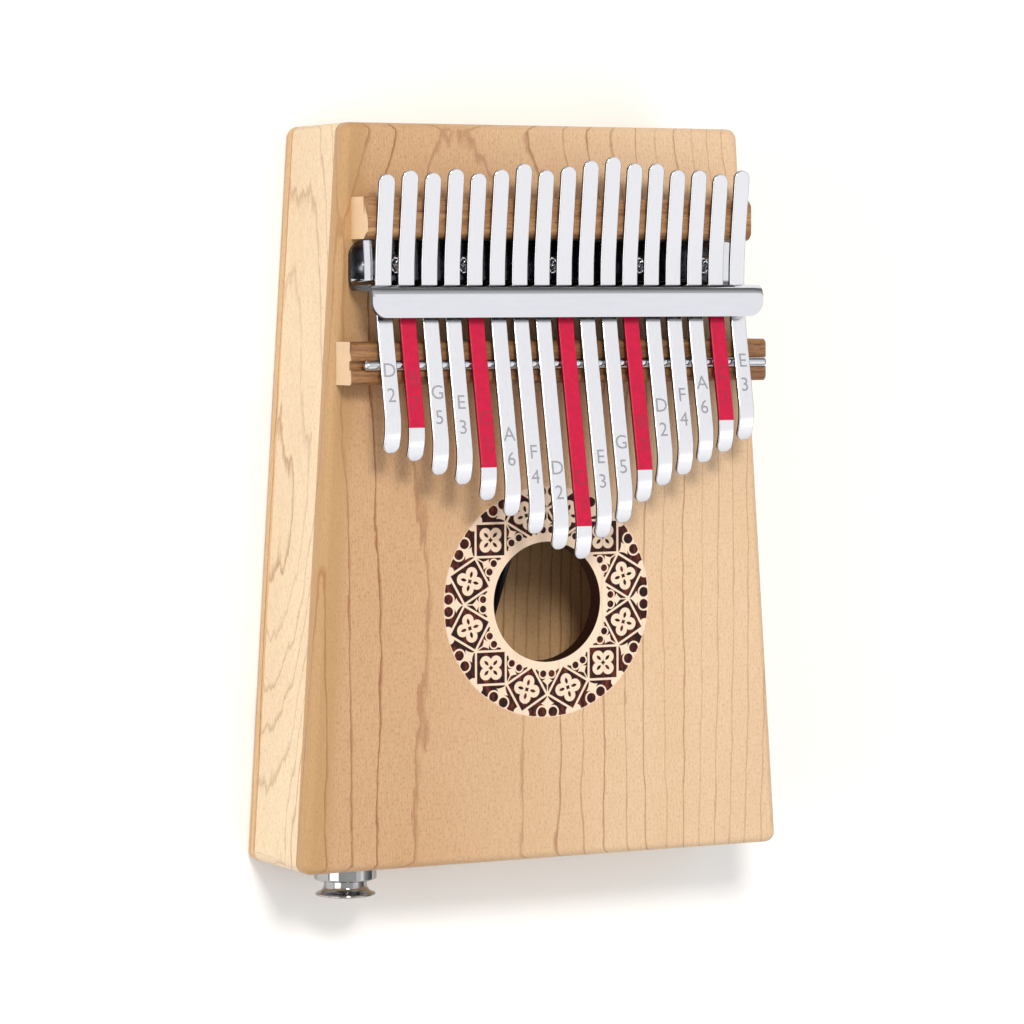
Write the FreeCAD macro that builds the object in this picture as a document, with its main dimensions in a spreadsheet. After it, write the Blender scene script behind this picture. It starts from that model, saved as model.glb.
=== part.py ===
import FreeCAD, Part
import math
import os
import re

import Sketcher

# A mbira of seventeen tines on a hollow wooden box, with a piezo pickup.
#
# Frame: the instrument lies on its back. +Z rises out of the soundboard, +Y runs
# to the head, where the tines' tails are, and +X is the player's right. The origin
# is the centre of the back face, halfway between head and tail. Millimetres.

DOC = FreeCAD.newDocument("mbira")
SHEET = DOC.addObject("Spreadsheet::Sheet", "sizes")

TINES = range(1, 18)
MIDDLE_TINE = 9

# Each tine's reach from the bridge rod to its tip, left to right: the longest is in
# the middle and sounds the lowest note.
REACH = (21.5, 23.5, 27, 29.5, 33.5, 37.5, 42, 46, 48.5, 43.5, 40, 35, 31, 28.5, 25.5, 23, 20)

# Each tine's tail behind the rod. They differ because each one is tuned by sliding it.
TAIL = (46.5, 47.5, 47, 48, 47, 48, 49.5, 48, 49, 50.5, 51.5, 50, 50, 48.5, 48.5, 47.5, 48.5)

# The bracket's screws stand under these tines.
SCREW_TINES = (2, 5, 9, 13, 16)

SIZES = {
    # box
    "body_length": 185.0,
    "tail_width": 135.8,
    "head_width": 111.9,
    "body_depth": 35.0,
    "top_thickness": 5.0,
    "back_thickness": 5.0,
    "wall_thickness": 6.0,
    "corner_radius": 2.6,
    "edge_radius": 2.2,
    "sound_radius": 15.2,
    "sound_from_head": 119.8,
    # brace under the bracket, which its screws bite into
    "block_length": 92.0,
    "block_width": 26.0,
    "block_height": 12.0,
    # wooden bridges and the rod
    "rear_bridge_length": 108.4,
    "rear_bridge_width": 10.3,
    "rear_bridge_from_head": 23.6,
    "rear_bridge_round": 2.4,
    "front_bridge_length": 117.0,
    "front_bridge_width": 10.6,
    "front_bridge_height": 9.5,
    "front_bridge_from_head": 59.1,
    "front_bridge_round": 1.5,
    "groove_width": 2.2,
    "groove_depth": 1.9,
    "groove_offset": 0.5,
    "groove_round": 0.5,
    "rod_radius": 1.3,
    "rod_length": 113.6,
    "rod_shift": 1.2,
    "seat_gap": 0.02,
    # pressed steel bracket
    "bracket_length": 110.2,
    "bracket_height": 14.0,
    "web_from_head": 40.7,
    "flange_reach": 11.7,
    "lip_reach": 7.3,
    "steel_thickness": 1.5,
    "bend_radius": 1.5,
    "plan_radius": 4.0,
    "slot_side_gap": 0.4,
    "slot_gap_above": 1.3,
    "slot_gap_below": 1.0,
    # wood screws
    "screw_from_web": 5.6,
    "screw_length": 14.0,
    "screw_radius": 1.3,
    "screw_head_radius": 2.6,
    "screw_head_height": 1.9,
    "screw_head_round": 0.9,
    "recess_length": 3.2,
    "recess_width": 0.7,
    "recess_depth": 0.9,
    "pilot_gap": 0.03,
    "flange_hole_gap": 0.3,
    # tines
    "tine_pitch": 6.25,
    "tine_width": 4.3,
    "tine_thickness": 1.05,
    "front_angle": 10.9,
    "tail_angle": 7.1,
    "tip_angle": 30.0,
    "tip_radius": 13.5,
    "tip_straight": 0.4,
    "tine_bend_radius": 74.0,
    "tine_bend_from_head": 41.2,
    "rod_gap": 0.05,
    "rear_gap": 0.1,
    # output jack
    "jack_from_centre": 48.4,
    "collar_radius": 7.9,
    "collar_thickness": 4.0,
    "button_radius": 7.6,
    "button_neck_radius": 5.45,
    "button_length": 4.0,
    "button_rim": 0.9,
    "barrel_radius": 4.7,
    "barrel_inside": 20.0,
    "socket_radius": 3.25,
    "jack_gap": 0.05,
    "washer_radius": 8.0,
    "washer_thickness": 0.8,
    "nut_flats": 12.7,
    "nut_thickness": 2.4,
    "housing_radius": 6.2,
    "housing_length": 18.0,
    "housing_wall": 1.4,
    "lug_width": 2.6,
    "lug_length": 6.0,
    "lug_thickness": 0.5,
    "lug_spread": 3.0,
    # pickup
    "piezo_radius": 13.5,
    "piezo_thickness": 0.3,
    "ceramic_radius": 10.0,
    "ceramic_thickness": 0.3,
    "piezo_from_sound": 35.3,
    "lead_radius": 0.95,
}
SIZES.update({"reach_%02d" % tine: float(REACH[tine - 1]) for tine in TINES})
SIZES.update({"tail_%02d" % tine: float(TAIL[tine - 1]) for tine in TINES})

for row, (alias, size) in enumerate(SIZES.items(), start=1):
    SHEET.set("A%d" % row, alias.replace("_", " "))
    SHEET.set("B%d" % row, str(size))
    SHEET.setAlias("B%d" % row, alias)
DOC.recompute()

# Places that several pieces share, as formulas in the sheet's names.
HEAD = "(body_length / 2)"
TAIL_FACE = "(-body_length / 2)"
CAVITY_HEIGHT = "(body_depth - top_thickness - back_thickness)"
UNDERSIDE = "(body_depth - top_thickness)"
TAPER = "((tail_width - head_width) / 2 / body_length)"
GROOVE_Y = f"({HEAD} - front_bridge_from_head - groove_offset)"
REAR_Y = f"({HEAD} - rear_bridge_from_head)"
WEB_Y = f"({HEAD} - web_from_head)"
SCREW_Y = f"({WEB_Y} + screw_from_web)"
SOUND_Y = f"({HEAD} - sound_from_head)"
PIEZO_Y = f"({SOUND_Y} + piezo_from_sound)"
JACK_Z = "(body_depth / 2)"

# The rod sits on the groove's rounded edges, wider than the groove is.
ROD_ARM = "(rod_radius + groove_round + seat_gap)"
ROD_RUN = "(groove_width / 2 + groove_round)"
ROD_RISE = f"sqrt({ROD_ARM} ^ 2 - {ROD_RUN} ^ 2)"
ROD_Z = f"(body_depth + front_bridge_height - groove_round + {ROD_RISE})"

# The tines' upper line: it falls from the tips over the rod to the bend at the
# bracket, and rises again to the tails.
OVER_ROD = f"({ROD_Z} + (rod_radius + rod_gap + tine_thickness) / cos(front_angle))"
BEND_Y = f"({HEAD} - tine_bend_from_head)"
BEND_Z = f"({OVER_ROD} - tan(front_angle) * ({BEND_Y} - {GROOVE_Y}))"
TIP_RUN = "(tip_radius * tan((front_angle + tip_angle) / 2) + tip_straight)"
BEND_RISE = "(tine_bend_radius * (1 / cos((front_angle + tail_angle) / 2) - 1))"
WEB_TINE_TOP = f"({BEND_Z} + {BEND_RISE})"
REAR_SHOULDER = "(rear_bridge_width / 2 - rear_bridge_round)"
REAR_TOP = (
    f"({BEND_Z} + tan(tail_angle) * ({REAR_Y} - {REAR_SHOULDER} - {BEND_Y})"
    " - tine_thickness / cos(tail_angle) - rear_gap)"
)


def formula(text):
    """The text with each of the sheet's names made a reference to its cell."""
    return re.sub(r"[a-z_]+[0-9]*", lambda found: reference(found.group()), text)


def reference(word):
    return "sizes." + word if word in SIZES else word


def number(text):
    """What a formula comes to now."""
    return float(SHEET.evalExpression(formula(text)))


def bind(thing, key, text):
    thing.setExpression(key, formula(text))


def new_body(label, place=("0", "0", "0")):
    body = DOC.addObject("PartDesign::Body", label)
    body.Label = label
    for axis, text in zip("xyz", place):
        if text != "0":
            bind(body, "Placement.Base." + axis, text)
    return body


def new_sketch(body, role, lift):
    """A sketch on one of the body's own origin planes, moved along its normal."""
    sketch = body.newObject("Sketcher::SketchObject", body.Label + "_sketch")
    plane = [feature for feature in body.Origin.OriginFeatures if feature.Role == role][0]
    sketch.AttachmentSupport = (plane, "")
    sketch.MapMode = "FlatFace"
    if lift != "0":
        bind(sketch, "AttachmentOffset.Base.z", lift)
    return sketch


def pin_point(sketch, index, point, across, up):
    """Hold a sketch point at two formulas, measured from the sketch's origin."""
    for kind, text, axis in (("DistanceX", across, -2), ("DistanceY", up, -1)):
        if text == "0":
            sketch.addConstraint(Sketcher.Constraint("PointOnObject", index, point, axis))
            continue
        rule = Sketcher.Constraint(kind, -1, 1, index, point, number(text))
        added = sketch.addConstraint(rule)
        bind(sketch, "Constraints[%d]" % added, text)


def polygons(body, role, outlines, lift="0"):
    """Closed outlines, each a list of corners given as pairs of formulas."""
    sketch = new_sketch(body, role, lift)
    for corners in outlines:
        spots = [FreeCAD.Vector(number(across), number(up), 0) for across, up in corners]
        first = sketch.GeometryCount
        for start, end in zip(spots, spots[1:] + spots[:1]):
            sketch.addGeometry(Part.LineSegment(start, end), False)
        for step, (across, up) in enumerate(corners):
            following = first + (step + 1) % len(corners)
            sketch.addConstraint(Sketcher.Constraint("Coincident", first + step, 2, following, 1))
            pin_point(sketch, first + step, 1, across, up)
    return sketch


def circles(body, role, rings, lift="0"):
    """Full circles, each given as formulas for its centre and its radius."""
    sketch = new_sketch(body, role, lift)
    for across, up, radius in rings:
        centre = FreeCAD.Vector(number(across), number(up), 0)
        index = sketch.addGeometry(Part.Circle(centre, FreeCAD.Vector(0, 0, 1), number(radius)))
        pin_point(sketch, index, 3, across, up)
        added = sketch.addConstraint(Sketcher.Constraint("Radius", index, number(radius)))
        bind(sketch, "Constraints[%d]" % added, radius)
    return sketch


def refresh(body, *added):
    """Recompute what was just added; the whole document is recomputed at the end."""
    for thing in added + (body,):
        thing.recompute()


def stadium(body, role, low, high, radius, lift="0"):
    """A slot-shaped outline along the sketch's second axis, with half-round ends."""
    sketch = new_sketch(body, role, lift)
    start, end, reach = number(low), number(high), number(radius)
    up = FreeCAD.Vector(0, 0, 1)
    ends = []
    for spot, turn in ((end, 0), (start, math.pi)):
        ring = Part.Circle(FreeCAD.Vector(0, spot, 0), up, reach)
        ends.append(sketch.addGeometry(Part.ArcOfCircle(ring, turn, turn + math.pi)))
    left = Part.LineSegment(FreeCAD.Vector(-reach, end, 0), FreeCAD.Vector(-reach, start, 0))
    right = Part.LineSegment(FreeCAD.Vector(reach, start, 0), FreeCAD.Vector(reach, end, 0))
    walls = [sketch.addGeometry(left), sketch.addGeometry(right)]
    loop = (ends[0], walls[0], ends[1], walls[1])
    for this, following in zip(loop, loop[1:] + loop[:1]):
        sketch.addConstraint(Sketcher.Constraint("Tangent", this, 2, following, 1))
    pin_point(sketch, ends[0], 3, "0", high)
    pin_point(sketch, ends[1], 3, "0", low)
    added = sketch.addConstraint(Sketcher.Constraint("Radius", ends[0], reach))
    bind(sketch, "Constraints[%d]" % added, radius)
    sketch.addConstraint(Sketcher.Constraint("Equal", ends[0], ends[1]))
    return sketch


def pad(body, sketch, length, side="One side"):
    feature = body.newObject("PartDesign::Pad", body.Label + "_pad")
    feature.Profile = sketch
    feature.SideType = side
    bind(feature, "Length", length)
    refresh(body, sketch, feature)
    return feature


def pocket(body, sketch, length):
    """Cut both ways from the sketch, and make sure that something was cut."""
    before = body.Shape.Volume
    feature = body.newObject("PartDesign::Pocket", body.Label + "_pocket")
    feature.Profile = sketch
    feature.SideType = "Symmetric"
    bind(feature, "Length", length)
    refresh(body, sketch, feature)
    if body.Shape.Volume >= before:
        raise RuntimeError(body.Label + ": the pocket cut nothing")
    return feature


def revolve(body, sketch):
    """Turn a sketch of the XY plane about the body's own Y axis."""
    feature = body.newObject("PartDesign::Revolution", body.Label + "_revolution")
    feature.Profile = sketch
    feature.ReferenceAxis = (sketch, ["V_Axis"])
    feature.Angle = 360
    refresh(body, sketch, feature)
    return feature


def fillet(body, radius, wanted):
    """Round the edges of the body's last feature that the test wants."""
    last = body.Tip
    names = ["Edge%d" % (index + 1) for index, edge in enumerate(last.Shape.Edges) if wanted(edge)]
    if not names:
        raise RuntimeError(body.Label + ": no edge to round")
    feature = body.newObject("PartDesign::Fillet", body.Label + "_fillet")
    feature.Base = (last, names)
    bind(feature, "Radius", radius)
    refresh(body, feature)
    return feature


def runs_along(edge, axis):
    """True for a straight edge that is parallel to x, y or z."""
    if not isinstance(edge.Curve, Part.Line):
        return False
    along = edge.Curve.Direction
    return abs(abs(getattr(along, axis)) - 1) < 1e-6


def middle(edge):
    return edge.BoundBox.Center


def near(value, target):
    return abs(value - target) < 1e-3


# --- wooden box ---------------------------------------------------------------

OUTLINE = (
    ("-tail_width / 2", TAIL_FACE),
    ("tail_width / 2", TAIL_FACE),
    ("head_width / 2", HEAD),
    ("-head_width / 2", HEAD),
)


def is_upright(edge):
    return runs_along(edge, "z")


def rim_at(height):
    """A test for the edges that lie flat at a height."""

    def wanted(edge):
        box = edge.BoundBox
        return near(box.ZMin, number(height)) and near(box.ZMax, number(height))

    return wanted


def plate(label, thickness, lift, rounded_rim):
    body = new_body(label)
    pad(body, polygons(body, "XY_Plane", [OUTLINE], lift), thickness)
    fillet(body, "corner_radius", is_upright)
    fillet(body, "edge_radius", rim_at(rounded_rim))
    return body


def screw_centres():
    return [("%d * tine_pitch" % (tine - MIDDLE_TINE), SCREW_Y) for tine in SCREW_TINES]


def top_plate():
    body = plate("top_plate", "top_thickness", UNDERSIDE, "body_depth")
    holes = [("0", SOUND_Y, "sound_radius")]
    holes += [(across, up, "screw_radius + pilot_gap") for across, up in screw_centres()]
    pocket(body, circles(body, "XY_Plane", holes, "body_depth"), "4 * top_thickness")
    return body


def back_plate():
    return plate("back_plate", "back_thickness", "0", "0")


def side(label, sign):
    """One long wall, from head face to tail face, with the box's two corners."""
    inner_tail = f"{sign} * (tail_width / 2 - wall_thickness)"
    inner_head = f"{sign} * (head_width / 2 - wall_thickness)"
    corners = [
        (f"{sign} * tail_width / 2", TAIL_FACE),
        (inner_tail, TAIL_FACE),
        (inner_head, HEAD),
        (f"{sign} * head_width / 2", HEAD),
    ]
    body = new_body(label)
    pad(body, polygons(body, "XY_Plane", [corners], "back_thickness"), CAVITY_HEIGHT)
    inside = min(abs(number(inner_tail)), abs(number(inner_head)))
    outer = [number("tail_width / 2"), number("head_width / 2")]
    fillet(
        body,
        "corner_radius",
        lambda edge: is_upright(edge) and abs(middle(edge).x) > inside
        and any(near(abs(middle(edge).x), reach) for reach in outer),
    )
    return body


def end_wall(label, width, face, into, drift):
    """A short wall between the sides, at the head or the tail."""
    inner_face = f"({face} + {into} * wall_thickness)"
    at_face = f"({width} / 2 - wall_thickness)"
    at_inner = f"({at_face} + {drift} * {TAPER} * wall_thickness)"
    corners = [
        (f"-{at_face}", face),
        (at_face, face),
        (at_inner, inner_face),
        (f"-{at_inner}", inner_face),
    ]
    body = new_body(label)
    pad(body, polygons(body, "XY_Plane", [corners], "back_thickness"), CAVITY_HEIGHT)
    return body


def tail_end():
    body = end_wall("tail_end", "tail_width", TAIL_FACE, "1", "-1")
    ring = [("-jack_from_centre", JACK_Z, "barrel_radius + jack_gap")]
    pocket(body, circles(body, "XZ_Plane", ring, f"-{TAIL_FACE}"), "4 * wall_thickness")
    return body


def screw_block():
    """Hardwood brace glued under the soundboard, with the screws' pilot holes."""
    body = new_body("screw_block")
    low = f"({SCREW_Y} - block_width / 2)"
    high = f"({SCREW_Y} + block_width / 2)"
    corners = [
        ("-block_length / 2", low),
        ("block_length / 2", low),
        ("block_length / 2", high),
        ("-block_length / 2", high),
    ]
    base = f"({UNDERSIDE} - block_height)"
    pad(body, polygons(body, "XY_Plane", [corners], base), "block_height")
    holes = [(across, up, "screw_radius + pilot_gap") for across, up in screw_centres()]
    depth = "(screw_length - steel_thickness - top_thickness + 1)"
    pocket(body, circles(body, "XY_Plane", holes, UNDERSIDE), f"2 * {depth}")
    return body


# --- bridges ------------------------------------------------------------------


def rear_bridge():
    body = new_body("rear_bridge")
    low = f"({REAR_Y} - rear_bridge_width / 2)"
    high = f"({REAR_Y} + rear_bridge_width / 2)"
    section = [(low, "body_depth"), (high, "body_depth"), (high, REAR_TOP), (low, REAR_TOP)]
    pad(body, polygons(body, "YZ_Plane", [section]), "rear_bridge_length", "Symmetric")
    top = number(REAR_TOP)
    fillet(
        body,
        "rear_bridge_round",
        lambda edge: runs_along(edge, "x") and near(middle(edge).z, top),
    )
    return body


def front_bridge():
    """A hardwood strip with a groove along its top, which the rod rests on."""
    body = new_body("front_bridge")
    centre = f"({HEAD} - front_bridge_from_head)"
    low = f"({centre} - front_bridge_width / 2)"
    high = f"({centre} + front_bridge_width / 2)"
    top = "(body_depth + front_bridge_height)"
    floor = f"({top} - groove_depth)"
    groove_low = f"({GROOVE_Y} - groove_width / 2)"
    groove_high = f"({GROOVE_Y} + groove_width / 2)"
    section = [
        (low, "body_depth"),
        (high, "body_depth"),
        (high, top),
        (groove_high, top),
        (groove_high, floor),
        (groove_low, floor),
        (groove_low, top),
        (low, top),
    ]
    pad(body, polygons(body, "YZ_Plane", [section]), "front_bridge_length", "Symmetric")
    crest = number(top)
    for radius, lines in (
        ("front_bridge_round", (low, high)),
        ("groove_round", (groove_low, groove_high)),
    ):
        places = [number(line) for line in lines]
        fillet(
            body,
            radius,
            lambda edge: runs_along(edge, "x") and near(middle(edge).z, crest)
            and any(near(middle(edge).y, place) for place in places),
        )
    return body


def bridge_rod():
    """A steel rod with domed ends."""
    body = new_body("bridge_rod", ("rod_shift", GROOVE_Y, ROD_Z))
    ring = circles(body, "YZ_Plane", [("0", "0", "rod_radius")])
    pad(body, ring, "rod_length", "Symmetric")
    fillet(body, "rod_radius - 0.05", lambda edge: isinstance(edge.Curve, Part.Circle))
    return body


# --- bracket and its screws ---------------------------------------------------


def tine_bracket():
    """Pressed sheet steel: a flange on the soundboard, a slotted web and a lip."""
    body = new_body("tine_bracket")
    front = f"({WEB_Y} - steel_thickness / 2)"
    rear = f"({WEB_Y} + steel_thickness / 2)"
    flange_end = f"({WEB_Y} + flange_reach)"
    lip_end = f"({WEB_Y} - lip_reach)"
    flange_top = "(body_depth + steel_thickness)"
    lip_top = "(body_depth + bracket_height)"
    lip_under = f"({lip_top} - steel_thickness)"
    section = [
        (front, "body_depth"),
        (flange_end, "body_depth"),
        (flange_end, flange_top),
        (rear, flange_top),
        (rear, lip_top),
        (lip_end, lip_top),
        (lip_end, lip_under),
        (front, lip_under),
    ]
    pad(body, polygons(body, "YZ_Plane", [section]), "bracket_length", "Symmetric")
    for radius, corners in (
        ("bend_radius", ((rear, flange_top), (front, lip_under))),
        ("bend_radius + steel_thickness", ((front, "body_depth"), (rear, lip_top))),
    ):
        places = [(number(across), number(up)) for across, up in corners]
        fillet(
            body,
            radius,
            lambda edge: runs_along(edge, "x")
            and any(near(middle(edge).y, y) and near(middle(edge).z, z) for y, z in places),
        )
    reach = number("bracket_length / 2")
    ends = [number(flange_end), number(lip_end)]
    fillet(
        body,
        "plan_radius",
        lambda edge: is_upright(edge) and near(abs(middle(edge).x), reach)
        and any(near(middle(edge).y, end) for end in ends),
    )
    pocket(body, circles(body, "XY_Plane", flange_holes(), "body_depth"), "4 * steel_thickness")
    cut_slots(body)
    return body


def flange_holes():
    return [(across, up, "screw_radius + flange_hole_gap") for across, up in screw_centres()]


def cut_slots(body):
    """One window through the web for each tine, repeated by a linear pattern."""
    left = f"(-8 * tine_pitch - tine_width / 2 - slot_side_gap)"
    right = f"({left} + tine_width + 2 * slot_side_gap)"
    floor = f"({WEB_TINE_TOP} - tine_thickness - slot_gap_below)"
    roof = f"({WEB_TINE_TOP} + slot_gap_above)"
    window = [(left, floor), (right, floor), (right, roof), (left, roof)]
    sketch = polygons(body, "XZ_Plane", [window], f"-{WEB_Y}")
    slot = pocket(body, sketch, "2 * (steel_thickness + bend_radius)")
    one = body.Shape.Volume
    pattern = body.newObject("PartDesign::LinearPattern", "tine_bracket_slots")
    pattern.Originals = [slot]
    pattern.Direction = (sketch, ["H_Axis"])
    pattern.Occurrences = len(TINES)
    bind(pattern, "Length", "16 * tine_pitch")
    body.Tip = pattern
    refresh(body, pattern)
    if body.Shape.Volume >= one:
        raise RuntimeError("tine_bracket: the slots were not repeated")


def one_screw(index, place):
    """A pan-head wood screw with a cross recess, standing on the flange."""
    body = new_body("bracket_screw_%d" % index, place)
    ring = circles(body, "XY_Plane", [("0", "0", "screw_head_radius")])
    pad(body, ring, "screw_head_height")
    top = number("screw_head_height")
    fillet(body, "screw_head_round", lambda edge: near(middle(edge).z, top))
    shank = circles(body, "XY_Plane", [("0", "0", "screw_radius")], "-screw_length")
    pad(body, shank, "screw_length + 0.5 * screw_head_height")
    for along, across in (("recess_length", "recess_width"), ("recess_width", "recess_length")):
        slot = [
            (f"-{along} / 2", f"-{across} / 2"),
            (f"{along} / 2", f"-{across} / 2"),
            (f"{along} / 2", f"{across} / 2"),
            (f"-{along} / 2", f"{across} / 2"),
        ]
        cross = polygons(body, "XY_Plane", [slot], "screw_head_height")
        pocket(body, cross, "2 * recess_depth")
    return body


def bracket_screws():
    screws = []
    for index, (across, up) in enumerate(screw_centres(), start=1):
        screws.append(one_screw(index, (across, up, "body_depth + steel_thickness")))
    group = DOC.addObject("Part::Compound", "bracket_screws")
    group.Label = "bracket_screws"
    group.Links = screws
    return group


# --- tines --------------------------------------------------------------------


def tine(index):
    """A flat spring-steel tongue, bent at the bracket and curled down at its tip."""
    label = "tine_%02d" % index
    place = ("%d * tine_pitch" % (index - MIDDLE_TINE), "0", "0")
    body = new_body(label + "_side", place)
    tip_y = f"({GROOVE_Y} - reach_{index:02d})"
    curl_y = f"({tip_y} + {TIP_RUN} * cos(tip_angle))"
    curl_z = f"({OVER_ROD} + tan(front_angle) * ({GROOVE_Y} - {curl_y}))"
    tip_z = f"({curl_z} - {TIP_RUN} * sin(tip_angle))"
    tail_y = f"({GROOVE_Y} + tail_{index:02d})"
    tail_z = f"({BEND_Z} + tan(tail_angle) * ({tail_y} - {BEND_Y}))"

    curl_half = "((tip_angle + front_angle) / 2)"
    curl_lean = "((tip_angle - front_angle) / 2)"
    bend_half = "((front_angle + tail_angle) / 2)"
    bend_lean = "((tail_angle - front_angle) / 2)"
    under_curl = (
        f"({curl_y} + tine_thickness / cos({curl_half}) * sin({curl_lean}))",
        f"({curl_z} - tine_thickness / cos({curl_half}) * cos({curl_lean}))",
    )
    under_bend = (
        f"({BEND_Y} + tine_thickness / cos({bend_half}) * sin({bend_lean}))",
        f"({BEND_Z} - tine_thickness / cos({bend_half}) * cos({bend_lean}))",
    )
    section = [
        (tip_y, tip_z),
        (f"({tip_y} + tine_thickness * sin(tip_angle))", f"({tip_z} - tine_thickness * cos(tip_angle))"),
        under_curl,
        under_bend,
        (f"({tail_y} + tine_thickness * sin(tail_angle))", f"({tail_z} - tine_thickness * cos(tail_angle))"),
        (tail_y, tail_z),
        (BEND_Y, BEND_Z),
        (curl_y, curl_z),
    ]
    pad(body, polygons(body, "YZ_Plane", [section]), "tine_width", "Symmetric")
    for radius, spot in (
        ("tip_radius", (curl_y, curl_z)),
        ("tip_radius - tine_thickness", under_curl),
        ("tine_bend_radius", (BEND_Y, BEND_Z)),
        ("tine_bend_radius + tine_thickness", under_bend),
    ):
        y, z = number(spot[0]), number(spot[1])
        fillet(
            body,
            radius,
            lambda edge: runs_along(edge, "x") and near(middle(edge).y, y) and near(middle(edge).z, z),
        )
    outline = new_body(label + "_plan", place)
    round_end = "(tine_width / 2)"
    slot = stadium(outline, "XY_Plane", f"{tip_y} + {round_end}", f"{tail_y} - {round_end}", round_end)
    pad(outline, slot, "2 * body_depth + 4 * bracket_height", "Symmetric")
    tongue = DOC.addObject("Part::Common", label)
    tongue.Label = label
    tongue.Base = body
    tongue.Tool = outline
    tongue.recompute()
    return tongue


# --- output jack --------------------------------------------------------------


def on_jack(label, section):
    """A piece turned about the jack's axis: corners are radius and distance in
    from the tail face, so the part outside the box has negative distances."""
    body = new_body(label, ("-jack_from_centre", TAIL_FACE, JACK_Z))
    revolve(body, polygons(body, "XY_Plane", [section]))
    return body


def jack_barrel():
    outer_end = "(-collar_thickness - button_length)"
    return on_jack("jack_barrel", [
        ("socket_radius", outer_end),
        ("barrel_radius", outer_end),
        ("barrel_radius", "barrel_inside"),
        ("socket_radius", "barrel_inside"),
    ])


def jack_collar():
    """The round nut that clamps the jack against the tail face."""
    body = on_jack("jack_collar", [
        ("(barrel_radius + jack_gap)", "-collar_thickness"),
        ("collar_radius", "-collar_thickness"),
        ("collar_radius", "0"),
        ("(barrel_radius + jack_gap)", "0"),
    ])
    rim = number("collar_radius")
    fillet(
        body,
        "collar_thickness / 10",
        lambda edge: isinstance(edge.Curve, Part.Circle) and near(edge.Curve.Radius, rim),
    )
    return body


def strap_button():
    """A waisted button on the jack's end, which a strap's eyelet goes over."""
    end = "(-collar_thickness - button_length)"
    waist = "(button_radius - button_neck_radius)"
    body = on_jack("strap_button", [
        ("(barrel_radius + jack_gap)", "-collar_thickness"),
        ("(barrel_radius + jack_gap)", end),
        ("button_radius", end),
        ("button_radius", f"({end} + button_rim)"),
        ("button_neck_radius", f"({end} + button_rim)"),
        ("button_neck_radius", "-collar_thickness"),
    ])
    neck = number("button_neck_radius")
    inner = number(f"{end} + button_rim")
    fillet(
        body,
        f"{waist} * 0.85",
        lambda edge: isinstance(edge.Curve, Part.Circle) and near(edge.Curve.Radius, neck)
        and near(edge.Curve.Center.y, inner),
    )
    return body


def jack_washer():
    return on_jack("jack_washer", [
        ("(barrel_radius + jack_gap)", "wall_thickness"),
        ("washer_radius", "wall_thickness"),
        ("washer_radius", "(wall_thickness + washer_thickness)"),
        ("(barrel_radius + jack_gap)", "(wall_thickness + washer_thickness)"),
    ])


def jack_nut():
    """Hexagon nut inside the box, against its washer."""
    base = "(wall_thickness + washer_thickness)"
    body = new_body("jack_nut", ("-jack_from_centre", TAIL_FACE, JACK_Z))
    corner = "(nut_flats / 2 / cos(30))"
    hexagon = [(f"{corner} * cos({turn})", f"{corner} * sin({turn})") for turn in range(30, 390, 60)]
    # cos(90) and cos(270) leave a rounding error, so those two corners lie on the axis.
    hexagon = [("0" if abs(number(across)) < 1e-9 else across, up) for across, up in hexagon]
    sketch = polygons(body, "XZ_Plane", [hexagon], f"-({base} + nut_thickness)")
    pad(body, sketch, "nut_thickness")
    bore = [("0", "0", "barrel_radius + jack_gap")]
    pocket(body, circles(body, "XZ_Plane", bore, f"-{base}"), "4 * nut_thickness")
    return body


def jack_housing():
    """Moulded cup round the jack's inner end, which holds the contacts."""
    cup_end = "(barrel_inside - barrel_radius + housing_length)"
    cup_start = "(barrel_inside - barrel_radius)"
    return on_jack("jack_housing", [
        ("(barrel_radius + jack_gap)", cup_start),
        ("housing_radius", cup_start),
        ("housing_radius", cup_end),
        ("0", cup_end),
        ("0", f"({cup_end} - housing_wall)"),
        ("(barrel_radius + jack_gap)", f"({cup_end} - housing_wall)"),
    ])


def flat_bar(label, size, place):
    """A plain rectangular strip, centred across X and Z and starting at its place."""
    bar = DOC.addObject("Part::Box", label)
    bar.Label = label
    for key, text in zip(("Length", "Width", "Height"), size):
        bind(bar, key, text)
    for axis, text in zip("xyz", place):
        bind(bar, "Placement.Base." + axis, text)
    return bar


def jack_contacts():
    """The tip's contact spring inside the cup, and the two solder lugs behind it."""
    cup_end = f"({TAIL_FACE} + barrel_inside - barrel_radius + housing_length)"
    start = f"({TAIL_FACE} + barrel_inside + 1)"
    length = f"({cup_end} - housing_wall - {start})"
    spring = flat_bar(
        "jack_contact_spring",
        ("lug_width", length, "lug_thickness"),
        ("(-jack_from_centre - lug_width / 2)", start, f"({JACK_Z} + socket_radius + 0.2)"),
    )
    spring.Label = "contact_spring"
    lugs = []
    for index, sign in ((1, "-"), (2, "+")):
        lugs.append(flat_bar(
            "jack_lug_%d" % index,
            ("lug_thickness", "lug_length", "lug_width"),
            (
                f"(-jack_from_centre {sign} lug_spread - lug_thickness / 2)",
                cup_end,
                f"({JACK_Z} - lug_width / 2)",
            ),
        ))
    pair = DOC.addObject("Part::Compound", "solder_lugs")
    pair.Label = "solder_lugs"
    pair.Links = lugs
    return [spring, pair]


# --- pickup -------------------------------------------------------------------


def disc(label, radius, thickness, top):
    body = new_body(label, ("0", PIEZO_Y, f"({top} - {thickness})"))
    pad(body, circles(body, "XY_Plane", [("0", "0", radius)]), thickness)
    return body


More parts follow.
